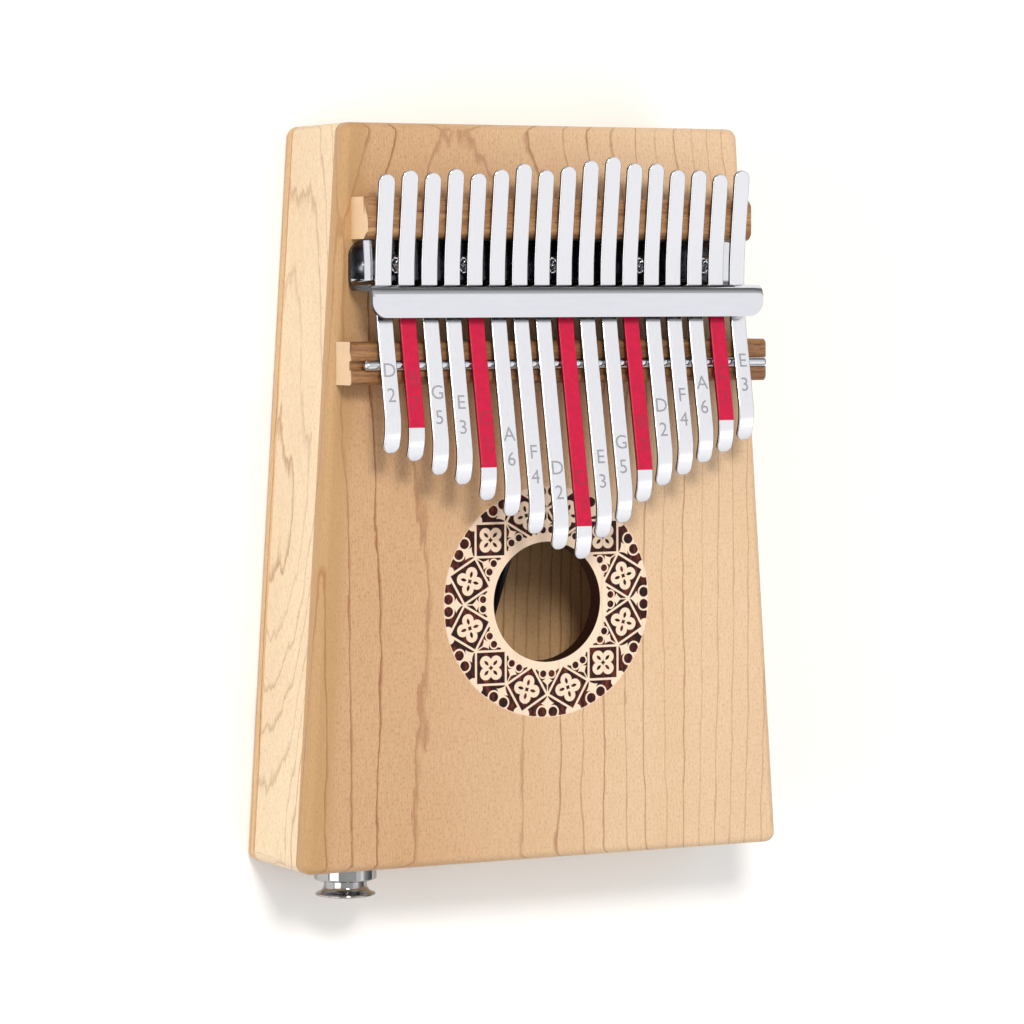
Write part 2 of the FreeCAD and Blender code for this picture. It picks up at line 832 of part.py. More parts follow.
def bend_corners(points):
    """Straight runs through the points, joined by tangent arcs as large as fit."""
    edges = []
    start = points[0]
    for before, corner, after in zip(points, points[1:], points[2:]):
        back = (before - corner).normalize()
        on = (after - corner).normalize()
        turn = math.pi - back.getAngle(on)
        run = min((before - corner).Length, (after - corner).Length)
        trim = 0.45 * run
        first = corner + back * trim
        last = corner + on * trim
        radius = trim / math.tan(turn / 2)
        inward = (back + on).normalize()
        centre = corner + inward * math.hypot(radius, trim)
        crest = centre - inward * radius
        edges.append(Part.LineSegment(start, first).toShape())
        edges.append(Part.Arc(first, crest, last).toShape())
        print("lead bend radius %.1f mm" % radius)
        start = last
    edges.append(Part.LineSegment(start, points[-1]).toShape())
    return edges


def pickup_lead():
    """Thin screened lead from the piezo disc to the jack's inner solder lug."""
    lug_x = number("-jack_from_centre + lug_spread - lug_thickness / 2")
    lug_end = number(f"{TAIL_FACE} + barrel_inside - barrel_radius + housing_length + lug_length")
    jack_z = number(JACK_Z)
    radius = number("lead_radius")
    disc_y = number(PIEZO_Y)
    disc_under = number(f"{UNDERSIDE} - piezo_thickness - ceramic_thickness")
    sound_y = number(SOUND_Y)
    deep = number("back_thickness") + 3 * radius
    vector = FreeCAD.Vector
    points = [
        vector(-4.5, disc_y - 11.5, disc_under - radius - 0.1),
        vector(-5.5, disc_y - 20.0, disc_under - radius - 1.5),
        vector(-6.0, sound_y + 5.0, (disc_under + deep) / 2 + 3),
        vector(-4.0, sound_y - 8.5, deep + 2),
        vector(-8.5, (sound_y + lug_end) / 2 - 8.5, deep),
        vector(-19.0, lug_end + 5.0, deep),
        vector(-31.5, lug_end + 10.0, deep + 1.5),
        vector(-42.0, lug_end + 13.0, (deep + jack_z) / 2),
        vector(lug_x, lug_end + 6.0, jack_z),
        vector(lug_x, lug_end, jack_z),
    ]
    wire = Part.Wire(bend_corners(points))
    along = points[1] - points[0]
    ring = Part.Wire([Part.Circle(points[0], along, radius).toShape()])
    lead = DOC.addObject("Part::Feature", "pickup_lead")
    lead.Label = "pickup_lead"
    lead.Shape = wire.makePipeShell([ring], True, True)
    expected = math.pi * radius ** 2 * wire.Length
    print("lead length %.1f mm, volume %.3f of the section times length"
          % (wire.Length, lead.Shape.Volume / expected))
    return lead


# --- the whole instrument -----------------------------------------------------


def build():
    pieces = [
        top_plate(),
        back_plate(),
        side("left_side", "-1"),
        side("right_side", "1"),
        end_wall("head_end", "head_width", HEAD, "-1", "1"),
        tail_end(),
        screw_block(),
        rear_bridge(),
        front_bridge(),
        bridge_rod(),
        tine_bracket(),
        bracket_screws(),
    ]
    pieces += [tine(index) for index in TINES]
    pieces += [
        jack_barrel(),
        jack_collar(),
        strap_button(),
        jack_washer(),
        jack_nut(),
        jack_housing(),
    ]
    pieces += jack_contacts()
    pieces += [
        disc("piezo_disc", "piezo_radius", "piezo_thickness", UNDERSIDE),
        disc("piezo_ceramic", "ceramic_radius", "ceramic_thickness", f"({UNDERSIDE} - piezo_thickness)"),
        pickup_lead(),
    ]
    return pieces


def export(pieces):
    """Write one STEP file a piece, once every feature and shape is sound."""
    DOC.recompute()
    for thing in DOC.Objects:
        if "Invalid" in thing.State or "Error" in thing.State:
            raise RuntimeError(thing.Label + ": " + ", ".join(thing.State))
    for piece in pieces:
        if piece.Shape.isNull() or not piece.Shape.isValid():
            raise RuntimeError(piece.Label + ": the shape is not sound")
    os.makedirs("parts", exist_ok=True)
    for piece in pieces:
        piece.Shape.exportStep("parts/" + piece.Label + ".step")
        print("%-16s %10.1f mm3" % (piece.Label, piece.Shape.Volume))


export(build())
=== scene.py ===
# %% [markdown]
# # A seventeen-note thumb piano with a pickup
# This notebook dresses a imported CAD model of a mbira. The CAD part fixes every size and joint.
# Here we only add what the eye wants: smooth steel tongues, a folded chrome bracket, turned jack
# fittings, figured maple with a burnt-in ring of ornament, and a calm studio around it.

# %% Load the frame
import math

import bmesh
import bpy
from mathutils import Matrix, Vector


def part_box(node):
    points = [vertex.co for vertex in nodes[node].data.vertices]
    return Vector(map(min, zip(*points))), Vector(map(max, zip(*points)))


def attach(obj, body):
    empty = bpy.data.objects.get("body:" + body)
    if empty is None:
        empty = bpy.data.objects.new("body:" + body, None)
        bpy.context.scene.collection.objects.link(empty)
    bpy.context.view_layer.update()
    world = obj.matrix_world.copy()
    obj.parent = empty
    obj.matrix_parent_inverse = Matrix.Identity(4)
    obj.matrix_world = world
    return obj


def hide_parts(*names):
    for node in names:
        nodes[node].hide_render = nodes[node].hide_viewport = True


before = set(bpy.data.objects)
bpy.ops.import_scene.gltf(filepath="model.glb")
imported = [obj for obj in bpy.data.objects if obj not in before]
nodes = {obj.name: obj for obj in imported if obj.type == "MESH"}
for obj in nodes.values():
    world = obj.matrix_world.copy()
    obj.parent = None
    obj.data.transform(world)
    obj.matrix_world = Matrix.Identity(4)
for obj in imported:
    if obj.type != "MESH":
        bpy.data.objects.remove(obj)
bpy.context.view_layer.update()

# %% [markdown]
# ## Units and colours
# Blender works in metres, while an instrument maker thinks in millimetres, so every size below is
# written in millimetres and multiplied by MM. Colours are written as the sRGB hex values one would
# pick by eye, but shaders calculate with linear light. One function makes that change everywhere.

# %% Millimetres and colour
MM = 0.001


def linear(hex_colour, alpha=1.0):
    channels = [int(hex_colour[i:i + 2], 16) / 255 for i in (1, 3, 5)]
    curve = [c / 12.92 if c <= 0.04045 else ((c + 0.055) / 1.055) ** 2.4 for c in channels]
    return (*curve, alpha)


print("mid maple in linear light", linear("#D9B48A"))

# %% [markdown]
# ## One helper for every shader node
# A material is a small graph. Adding nodes by hand takes four lines each, so one function makes a
# node, applies its settings, and fills or links its sockets. It returns an output socket, ready to
# be linked into the next node. A second helper fills the stops of a colour ramp.

# %% Node helpers
def node(tree, kind, inputs=None, out=0, **settings):
    made = tree.nodes.new("ShaderNode" + kind)
    for name, value in settings.items():
        setattr(made, name, value)
    for socket, value in (inputs or {}).items():
        if isinstance(value, bpy.types.NodeSocket):
            tree.links.new(value, made.inputs[socket])
        else:
            made.inputs[socket].default_value = value
    return made.outputs[out] if made.outputs else made


def stops(ramp_output, *pairs):
    ramp = ramp_output.node.color_ramp
    while len(ramp.elements) < len(pairs):
        ramp.elements.new(0.5)
    for element, (place, colour) in zip(ramp.elements, pairs):
        element.position = place
        element.color = linear(colour) if isinstance(colour, str) else (colour,) * 3 + (1,)
    return ramp_output


def new_finish(name, **shader):
    material = bpy.data.materials.new(name)
    material.use_nodes = True
    tree = material.node_tree
    tree.nodes.clear()
    inputs = {key.replace("_", " "): value for key, value in shader.items()}
    surface = node(tree, "BsdfPrincipled", inputs)
    node(tree, "OutputMaterial", {"Surface": surface})
    return material, tree, surface.node


def feed(tree, shader, **links):
    for socket, value in links.items():
        tree.links.new(value, shader.inputs[socket.replace("_", " ")])


# %% [markdown]
# ## Camera
# The instrument lies on its back, so the camera looks down at it from above and a little from the
# left. A long lens, about 145 mm, keeps the two long edges nearly parallel, as a product shot does.
# The turn is built from three plain rotations and then inverted, because it was worked out as the
# turn of the world in front of the lens.

# %% Camera
YAW, PITCH, ROLL = (math.radians(a) for a in (27.555, 2.944, 0.16))
camera_data = bpy.data.cameras.new("studio_camera")
camera_data.lens = 145.06
camera_data.sensor_width = 36
camera = bpy.data.objects.new("studio_camera", camera_data)
turn = Matrix.Rotation(ROLL, 3, "Z") @ Matrix.Rotation(PITCH, 3, "X") @ Matrix.Rotation(YAW, 3, "Y")
camera.matrix_world = Matrix.Translation((-0.48836, 0.04883, 0.95185)) @ turn.transposed().to_4x4()
bpy.context.scene.collection.objects.link(camera)
bpy.context.scene.camera = camera
print("camera stands", round(camera.location.length, 3), "m from the row origin")

# %% [markdown]
# ## Light
# Polished steel shows the room more than itself. The room is therefore bright overhead and dim
# toward the horizon: flat tops turn pale and upright edges turn dark, which draws each tongue's
# outline, and painted shade on the tongues' side walls darkens it further. A small key light at
# the head end throws the tongues' short shadows. Large soft lights fill from the left and from the
# tail, and a wide one overhead is what the steel tops mirror. The colour transform is the plain
# one, so maple keeps the colour we choose.

# %% Room light
scene = bpy.context.scene
scene.view_settings.view_transform = "Standard"
scene.view_settings.look = "None"
world = bpy.data.worlds.new("studio_room")
scene.world = world
world.use_nodes = True
sky = world.node_tree
sky.nodes.clear()
direction = node(sky, "TexCoord", out="Generated")
height = node(sky, "SeparateXYZ", {0: direction}, out=2)
overhead = stops(
    node(sky, "ValToRGB", {0: height}), (0.0, 0.10), (0.3, 0.2), (0.6, 0.52), (1.0, 0.68)
)
glow = node(sky, "Background", {0: overhead, 1: 1.0})
node(sky, "OutputWorld", {0: glow})


def soft_light(name, place, aim, size, power, tint="#FFFFFF"):
    lamp = bpy.data.lights.new(name, "AREA")
    lamp.shape, lamp.size, lamp.size_y = "RECTANGLE", size[0], size[1]
    lamp.energy = power
    lamp.color = linear(tint)[:3]
    lit = bpy.data.objects.new(name, lamp)
    lit.location = place
    lit.rotation_euler = (Vector(aim) - Vector(place)).to_track_quat("-Z", "Y").to_euler()
    scene.collection.objects.link(lit)


TARGET = (0, 0, 0.03)
soft_light("key_from_head", (-0.28, 0.47, 1.05), TARGET, (0.24, 0.24), 6.9, "#FFFAF4")
soft_light("fill_from_left", (-1.1, -0.1, 0.45), TARGET, (0.9, 0.7), 5.25, "#FFFDFB")
soft_light("overhead_right", (0.56, 0.03, 1.0), TARGET, (1.15, 0.7), 1.12)
soft_light("low_from_tail", (0.60, -0.78, 0.72), TARGET, (1.05, 1.05), 2.1)

# %% [markdown]
# ## Floor
# A pale matt sheet under the instrument. Pure white would clip, so it is a touch grey and the light
# brings it up. Very soft mottling keeps it from looking computed.

# %% Floor
paper, tree, shader = new_finish("pale_paper_sheet", Roughness=0.9)
where = node(tree, "TexCoord", out="Object")
cloud = node(tree, "TexNoise", {"Vector": where, "Scale": 3.0, "Detail": 2.0})
mottled = stops(node(tree, "ValToRGB", {0: cloud}), (0.3, "#FBFBFB"), (0.7, "#FEFEFE"))
feed(tree, shader, Base_Color=mottled)
HALF_SHEET = 4.0
sheet = bmesh.new()
bmesh.ops.create_grid(sheet, x_segments=2, y_segments=2, size=HALF_SHEET)
floor_mesh = bpy.data.meshes.new("studio_floor")
sheet.to_mesh(floor_mesh)
sheet.free()
floor = bpy.data.objects.new("studio_floor", floor_mesh)
floor.data.materials.append(paper)
scene.collection.objects.link(floor)
print("floor spans", 2 * HALF_SHEET, "m")

# %% [markdown]
# ## How a maple board is drawn
# Wood grain is a slice through growth rings, so the honest way to draw it is a solid texture: rings
# round an axis that runs under the board, and the surface cuts them. A flat-sawn board cut near the
# centre shows wide plain wood over the axis and lines that crowd together away from it. Low noise
# makes the rings wander, each ring gets its own darkness, and fine fibres and flecks lie along the
# grain. Everything is in millimetres of object space, so neighbouring faces of one board agree.

# %% Growth rings
def in_millimetres(tree, turn_to_x=False):
    where = node(tree, "TexCoord", out="Object")
    scaled = node(tree, "VectorMath", {0: where, 1: (1000, 1000, 1000)}, operation="MULTIPLY")
    if turn_to_x:
        scaled = node(tree, "Mapping", {"Vector": scaled, "Rotation": (0, 0, math.pi / 2)})
    return scaled


def growth_rings(tree, place, axis, spacing, wander, swell):
    stretch = node(tree, "VectorMath", {0: place, 1: (0.030, 0.007, 0.030)}, operation="MULTIPLY")
    slow = node(
        tree, "TexNoise", {"Vector": stretch, "Scale": 1.0, "Detail": 3.0, "Roughness": 0.55}
    )
    sway = node(tree, "MapRange", {0: slow, 1: 0.25, 2: 0.75, 3: -wander, 4: wander})
    jag = node(tree, "VectorMath", {0: place, 1: (0.5, 0.10, 0.5)}, operation="MULTIPLY")
    quick = node(tree, "TexNoise", {"Vector": jag, "Scale": 1.0, "Detail": 2.0})
    nib = node(tree, "MapRange", {0: quick, 1: 0.2, 2: 0.8, 3: -0.32, 4: 0.32})
    from_axis = node(tree, "VectorMath", {0: place, 1: (-axis[0], 0, -axis[1])}, operation="ADD")
    flat = node(tree, "VectorMath", {0: from_axis, 1: (1, 0, 1)}, operation="MULTIPLY")
    radius = node(tree, "VectorMath", {0: flat}, out="Value", operation="LENGTH")
    lengthwise = node(tree, "SeparateXYZ", {0: place}, out="Y")
    start, end, rise = swell
    lift = node(
        tree, "MapRange", {0: lengthwise, 1: start, 2: end, 3: 0.0, 4: rise},
        interpolation_type="SMOOTHSTEP",
    )
    for shift in (lift, sway, nib):
        radius = node(tree, "Math", {0: radius, 1: shift}, operation="ADD")
    return node(tree, "Math", {0: radius, 1: spacing}, operation="DIVIDE")


def ring_lines(tree, rings, thin):
    year = node(tree, "Math", {0: rings}, operation="FLOOR")
    darkness = node(tree, "TexWhiteNoise", {"W": year}, out="Value", noise_dimensions="1D")
    darkness = node(tree, "MapRange", {0: darkness, 3: 0.45, 4: 1.0})
    part = node(tree, "Math", {0: rings}, operation="FRACT")
    line = stops(
        node(tree, "ValToRGB", {0: part}),
        (0.0, 0.0), (1 - thin, 0.0), (1 - thin * 0.3, 1.0), (1.0, 0.0),
    )
    return node(tree, "Math", {0: line, 1: darkness}, operation="MULTIPLY")


print("ring helpers ready")

# %% Fibres, flecks and the maple finish
LINE_BROWN = "#8A4512"


def blend_colour(tree, factor, one, two, kind="MIX"):
    sockets = {0: factor, 6: one, 7: two}
    return node(tree, "Mix", sockets, out=2, data_type="RGBA", blend_type=kind)


def maple_surface(tree, place, rings, thin, pale, contrast):
    lines = ring_lines(tree, rings, thin)
    fibre_place = node(tree, "VectorMath", {0: place, 1: (4.0, 0.22, 4.0)}, operation="MULTIPLY")
    fibre = node(
        tree, "TexNoise", {"Vector": fibre_place, "Scale": 1.0, "Detail": 3.0, "Roughness": 0.6}
    )
    fleck_place = node(tree, "VectorMath", {0: place, 1: (2.8, 1.1, 2.8)}, operation="MULTIPLY")
    fleck = node(tree, "TexNoise", {"Vector": fleck_place, "Scale": 1.0, "Detail": 1.0})
    fleck = node(tree, "MapRange", {0: fleck, 1: 0.50, 2: 0.72, 3: 0.0, 4: 0.34 * contrast})
    cloud_place = node(tree, "VectorMath", {0: place, 1: (0.05, 0.018, 0.05)}, operation="MULTIPLY")
    cloud = node(tree, "TexNoise", {"Vector": cloud_place, "Scale": 1.0, "Detail": 3.0})
    cloud = node(tree, "MapRange", {0: cloud, 1: 0.3, 2: 0.7, 3: 0.0, 4: 0.30 * contrast})
    colour = blend_colour(tree, cloud, linear(pale), linear("#D3AA7C"))
    fade = node(tree, "MapRange", {0: fibre, 1: 0.38, 2: 0.70, 3: 0.0, 4: 0.36 * contrast})
    colour = blend_colour(tree, fade, colour, linear("#B68C60"))
    colour = blend_colour(tree, fleck, colour, linear("#9C6A3A"))
    strength = node(tree, "Math", {0: lines, 1: 0.85 * contrast}, operation="MULTIPLY")
    return blend_colour(tree, strength, colour, linear(LINE_BROWN)), fibre


def maple(name, axis, spacing, thin, pale, turn_to_x=False, wander=2.2, swell=(60, 92, 0),
          contrast=1.0):
    material, tree, shader = new_finish(
        name, Roughness=0.45, Specular_IOR_Level=0.2, Coat_Weight=0.05, Coat_Roughness=0.2
    )
    place = in_millimetres(tree, turn_to_x)
    rings = growth_rings(tree, place, axis, spacing, wander, swell)
    colour, fibre = maple_surface(tree, place, rings, thin, pale, contrast)
    gloss = node(tree, "MapRange", {0: fibre, 1: 0.3, 2: 0.7, 3: 0.42, 4: 0.54})
    bump = node(tree, "Bump", {"Strength": 0.2, "Distance": 0.0001, "Height": fibre})
    feed(tree, shader, Base_Color=colour, Roughness=gloss, Normal=bump)
    return material, tree, shader, place, colour


# Growth lines are drawn two to four millimetres apart, coarser than most real maple, to show.
maple_side = maple(
    "satin_maple_side", (-104, 8), 2.2, 0.20, "#EFDAB9",
    wander=2.6, swell=(10, -95, 16), contrast=0.7,
)[0]
maple_right = maple(
    "satin_maple_right_side", (104, 26), 3.6, 0.18, "#EBCB9C", swell=(10, -95, 12), contrast=0.7
)[0]
maple_end = maple(
    "satin_maple_end", (-160, 12), 3.8, 0.18, "#E6C497", turn_to_x=True, contrast=0.8
)[0]
maple_back = maple("satin_maple_back", (-60, 44), 2.9, 0.25, "#E0BB8C", contrast=0.9)[0]
print("maple finishes", [m.name for m in (maple_side, maple_right, maple_end, maple_back)])

# %% [markdown]
# ## The burnt-in ring of ornament
# Round the sound hole a laser has burned a border: twelve dark diamonds with a pale four-petal
# flower in each, and leafy triangles between them. Painting it as a picture would fix its
# sharpness, so it is drawn with arithmetic instead. The plane round the hole is folded into one
# thirty-degree wedge, and inside that wedge each shape is a small distance field in millimetres:
# positive inside, negative outside. Unions are maxima and cuts are minima.

# %% Front board with the ring
HOLE_CENTRE = (0.0, -27.3)
RING_RADIUS = 22.7
RING_INSIDE, RING_OUTSIDE = 17.3, 29.1
HALF_DIAGONAL = 5.55
WEDGE = math.pi / 6
maple_front, tree, shader, place, wood = maple(
    "satin_maple_front", (-23, -15), 4.0, 0.115, "#E4C4A0", wander=1.7, swell=(64, 92, 3.0)
)
board_x = node(tree, "SeparateXYZ", {0: place}, out="X")
board_y = board_x.node.outputs["Y"]
# Across the board a multiplied tint darkens the left and a paler mix lifts the right: partly the
# board's own tone, partly painted shade on the left and painted light on the right.
tone = node(
    tree, "MapRange", {0: board_x, 1: -60, 2: 50, 3: 0.0, 4: 1.0}, interpolation_type="SMOOTHSTEP"
)
tint = blend_colour(tree, tone, linear("#E8DCD0"), linear("#FFFFFF"))
wood = blend_colour(tree, 1.0, wood, tint, "MULTIPLY")
painted_light_right = node(tree, "Math", {0: tone, 1: 0.18}, operation="MULTIPLY")
wood = blend_colour(tree, painted_light_right, wood, linear("#F6DCBC"))
# A browner band a few millimetres in from the left edge is painted shade of the rounded edge.
edge_at = node(tree, "Math", {0: board_y, 1: -0.0646, 2: 61.93}, operation="MULTIPLY_ADD")
from_edge = node(tree, "Math", {0: board_x, 1: edge_at}, operation="ADD")
left_edge_painted_shade = node(
    tree, "MapRange", {0: from_edge, 1: 4.5, 2: 8.5, 3: 0.55, 4: 0.0},
    interpolation_type="SMOOTHSTEP",
)
wood = blend_colour(tree, left_edge_painted_shade, wood, linear("#B48E5C"))
to_hole = (-HOLE_CENTRE[0], -HOLE_CENTRE[1], 0)
from_hole = node(tree, "VectorMath", {0: place, 1: to_hole}, operation="ADD")
from_hole = node(tree, "VectorMath", {0: from_hole, 1: (1, 1, 0)}, operation="MULTIPLY")
out_from_hole = node(tree, "VectorMath", {0: from_hole}, out="Value", operation="LENGTH")
east = node(tree, "SeparateXYZ", {0: from_hole}, out="X")
north = east.node.outputs["Y"]
bearing = node(tree, "Math", {0: north, 1: east}, operation="ARCTAN2")


def fold_round(tree, bearing, reach, offset):
    shifted = node(tree, "Math", {0: bearing, 1: 2 * math.pi + WEDGE / 2 + offset}, operation="ADD")
    turned = node(tree, "Math", {0: shifted, 1: WEDGE}, operation="MODULO")
    angle = node(tree, "Math", {0: turned, 1: WEDGE / 2}, operation="SUBTRACT")
    cosine = node(tree, "Math", {0: angle}, operation="COSINE")
    sine = node(tree, "Math", {0: angle}, operation="SINE")
    outward = node(tree, "Math", {0: reach, 1: cosine}, operation="MULTIPLY")
    sideways = node(tree, "Math", {0: reach, 1: sine}, operation="MULTIPLY")
    sideways = node(tree, "Math", {0: sideways}, operation="ABSOLUTE")
    return outward, sideways


print("folded into", round(2 * math.pi / WEDGE), "wedges")

# %% Diamonds and their flowers
across, aside = fold_round(tree, bearing, out_from_hole, -WEDGE / 2)
inward = node(tree, "Math", {0: across, 1: RING_RADIUS}, operation="SUBTRACT")
inward = node(tree, "Math", {0: inward}, operation="ABSOLUTE")
square = node(tree, "Math", {0: inward, 1: aside}, operation="ADD")
diamond = node(tree, "Math", {0: HALF_DIAGONAL, 1: square}, operation="SUBTRACT")
diamond = node(tree, "Math", {0: diamond, 1: 0.707}, operation="MULTIPLY")
along_petal = node(tree, "Math", {0: inward, 1: aside}, operation="MAXIMUM")
off_petal = node(tree, "Math", {0: inward, 1: aside}, operation="MINIMUM")
petal_place = node(tree, "CombineXYZ", {0: along_petal, 1: off_petal})
petal = node(
    tree, "VectorMath", {0: petal_place, 1: (2.05, 0, 0)}, out="Value", operation="DISTANCE"
)
petal_outside = node(tree, "Math", {0: petal, 1: 1.6}, operation="SUBTRACT")
down_leaf = node(tree, "Math", {0: along_petal, 1: 1.75}, operation="SUBTRACT")
down_leaf = node(tree, "Math", {0: down_leaf, 1: 2.0}, operation="POWER")
leaf_width = node(tree, "Math", {0: down_leaf, 1: -0.55, 2: 0.42}, operation="MULTIPLY_ADD")
leaf = node(tree, "Math", {0: leaf_width, 1: off_petal}, operation="SUBTRACT")
frame_field = node(tree, "Math", {0: diamond, 1: petal_outside}, operation="MINIMUM")
diamond_field = node(tree, "Math", {0: frame_field, 1: leaf}, operation="MAXIMUM")
print("diamond corner to corner", 2 * HALF_DIAGONAL, "mm")

# %% Leafy triangles between the diamonds
outward, sideways = fold_round(tree, bearing, out_from_hole, 0.0)
leaf_place = node(tree, "CombineXYZ", {0: outward, 1: sideways})
clear_of_diamond = node(tree, "Math", {0: -0.55, 1: diamond}, operation="SUBTRACT")
inside_band = node(tree, "Math", {0: RING_OUTSIDE, 1: out_from_hole}, operation="SUBTRACT")
outside_bare = node(tree, "Math", {0: out_from_hole, 1: RING_INSIDE}, operation="SUBTRACT")
triangle = node(tree, "Math", {0: inside_band, 1: outside_bare}, operation="MINIMUM")
triangle = node(tree, "Math", {0: triangle, 1: clear_of_diamond}, operation="MINIMUM")
middle_line = node(tree, "Math", {0: sideways, 1: 0.14}, operation="SUBTRACT")
triangle = node(tree, "Math", {0: triangle, 1: middle_line}, operation="MINIMUM")
# Each star is (distance out from the hole's centre, reach of its points). Each bite is a pale disc,
# and each stroke is a pale circle line (centre, radius, half width) that parts leaf from leaf.
STARS = ((25.7, 1.62), (20.0, 1.36))
BITES = (
    ((29.5, 3.15), 0.75), ((28.1, 6.7), 1.45), ((29.4, 5.2), 0.55),
    ((17.0, 2.3), 0.55), ((17.1, 4.3), 1.0),
)
STROKES = (((27.9, 1.55), 1.5, 0.21), ((18.2, 1.2), 1.08, 0.18))
for distance, reach in STARS:
    off_star = node(tree, "Math", {0: outward, 1: distance}, operation="SUBTRACT")
    off_star = node(tree, "Math", {0: off_star}, operation="ABSOLUTE")
    arm = node(tree, "Math", {0: off_star, 1: 0.75}, operation="POWER")
    wing = node(tree, "Math", {0: sideways, 1: 0.75}, operation="POWER")
    star = node(tree, "Math", {0: arm, 1: wing}, operation="ADD")
    star = node(tree, "Math", {0: star, 1: reach}, operation="SUBTRACT")
    triangle = node(tree, "Math", {0: triangle, 1: star}, operation="MINIMUM")
for centre, radius in BITES:
    gap = node(
        tree, "VectorMath", {0: leaf_place, 1: (*centre, 0)}, out="Value", operation="DISTANCE"
    )
    gap = node(tree, "Math", {0: gap, 1: radius}, operation="SUBTRACT")
    triangle = node(tree, "Math", {0: triangle, 1: gap}, operation="MINIMUM")
for centre, radius, half_width in STROKES:
    gap = node(
        tree, "VectorMath", {0: leaf_place, 1: (*centre, 0)}, out="Value", operation="DISTANCE"
    )
    gap = node(tree, "Math", {0: gap, 1: radius}, operation="SUBTRACT")
    gap = node(tree, "Math", {0: gap}, operation="ABSOLUTE")
    gap = node(tree, "Math", {0: gap, 1: half_width}, operation="SUBTRACT")
    triangle = node(tree, "Math", {0: triangle, 1: gap}, operation="MINIMUM")
ornament = node(tree, "Math", {0: triangle, 1: diamond_field}, operation="MAXIMUM")
burnt = node(tree, "MapRange", {0: ornament, 1: -0.05, 2: 0.07})
print("stars", len(STARS) * 12, "bites", len(BITES) * 24, "strokes", len(STROKES) * 24)

# %% [markdown]
# ## Colouring the burn
# A laser line in maple is almost black in its depths and red-brown where the fibres were shallow.
# Streaks that run with the grain mix the two. The bare wood in the ring was sanded after burning,
# so it is a little paler than the board. The hole's own wall is scorched all the way round.

# %% Burnt colours
streak_place = node(tree, "VectorMath", {0: place, 1: (0.9, 0.35, 0.9)}, operation="MULTIPLY")
streak = node(
    tree, "TexNoise", {"Vector": streak_place, "Scale": 1.0, "Detail": 4.0, "Roughness": 0.65}
)
scorch = stops(
    node(tree, "ValToRGB", {0: streak}), (0.38, "#180403"), (0.52, "#330A06"), (0.66, "#6C2A16")
)
in_ring = node(tree, "MapRange", {0: out_from_hole, 1: 29.4, 2: 29.0})
sanded = node(tree, "Math", {0: in_ring, 1: 0.62}, operation="MULTIPLY")
wood = blend_colour(tree, sanded, wood, linear("#FFEAD4"))
face_only = node(tree, "SeparateXYZ", {0: place}, out="Z")
face_only = node(tree, "MapRange", {0: face_only, 1: 34.90, 2: 34.96})
burnt = node(tree, "Math", {0: burnt, 1: face_only}, operation="MULTIPLY")
painted = blend_colour(tree, burnt, wood, scorch)
hole_wall = node(tree, "MapRange", {0: out_from_hole, 1: 15.26, 2: 15.2})
painted = blend_colour(tree, hole_wall, painted, linear("#2A0F0A"))
feed(tree, shader, Base_Color=painted)
print("front board uses", len(tree.nodes), "nodes")

# %% [markdown]
# ## Wood of the bridges and the braces
# The two bridges are a browner, open-pored hardwood, planed square and left oiled. The eye reads it
# by its short dark pores, which run along the bridge, and by its pale end grain. The block inside
# that takes the screws is plain spruce.

# %% Bridge and brace finishes
PORE_SCALE = (0.32, 3.2, 3.2)  # noise cells about 3 mm along and 0.3 mm across the grain


def open_pored(name, pale, dark, pore_colour):
    material, tree, shader = new_finish(name, Roughness=0.5, Coat_Weight=0.1, Coat_Roughness=0.35)
    place = in_millimetres(tree)
    band_place = node(tree, "VectorMath", {0: place, 1: (0.03, 0.55, 0.55)}, operation="MULTIPLY")
    band = node(
        tree, "TexNoise", {"Vector": band_place, "Scale": 1.0, "Detail": 4.0, "Roughness": 0.6}
    )
    base = stops(node(tree, "ValToRGB", {0: band}), (0.32, pale), (0.68, dark))
    pore_place = node(tree, "VectorMath", {0: place, 1: PORE_SCALE}, operation="MULTIPLY")
    pore = node(
        tree, "TexNoise", {"Vector": pore_place, "Scale": 1.0, "Detail": 2.0, "Roughness": 0.7}
    )
    pore = node(tree, "MapRange", {0: pore, 1: 0.57, 2: 0.66, 3: 0.0, 4: 0.7})
    colour = blend_colour(tree, pore, base, linear(pore_colour))
    end_x = node(tree, "SeparateXYZ", {0: node(tree, "NewGeometry", out="Normal")}, out="X")
    end_x = node(tree, "Math", {0: end_x}, operation="ABSOLUTE")
    end_x = node(tree, "MapRange", {0: end_x, 1: 0.8, 2: 0.95, 3: 0.0, 4: 0.75})
    colour = blend_colour(tree, end_x, colour, linear("#F2CFA6"))
    bump = node(tree, "Bump", {"Strength": 0.35, "Distance": 0.0002, "Height": pore}, invert=True)
    feed(tree, shader, Base_Color=colour, Normal=bump)
    return material


bridge_wood = open_pored("oiled_bridge_hardwood", "#BF9160", "#855630", "#4E2A14")
front_bridge_wood = open_pored("oiled_front_bridge_hardwood", "#AC7C4C", "#6E4424", "#42220F")
brace_wood = open_pored("planed_spruce", "#E4C79A", "#CFA872", "#A9814E")
print("bridge finishes", bridge_wood.name, front_bridge_wood.name, brace_wood.name)
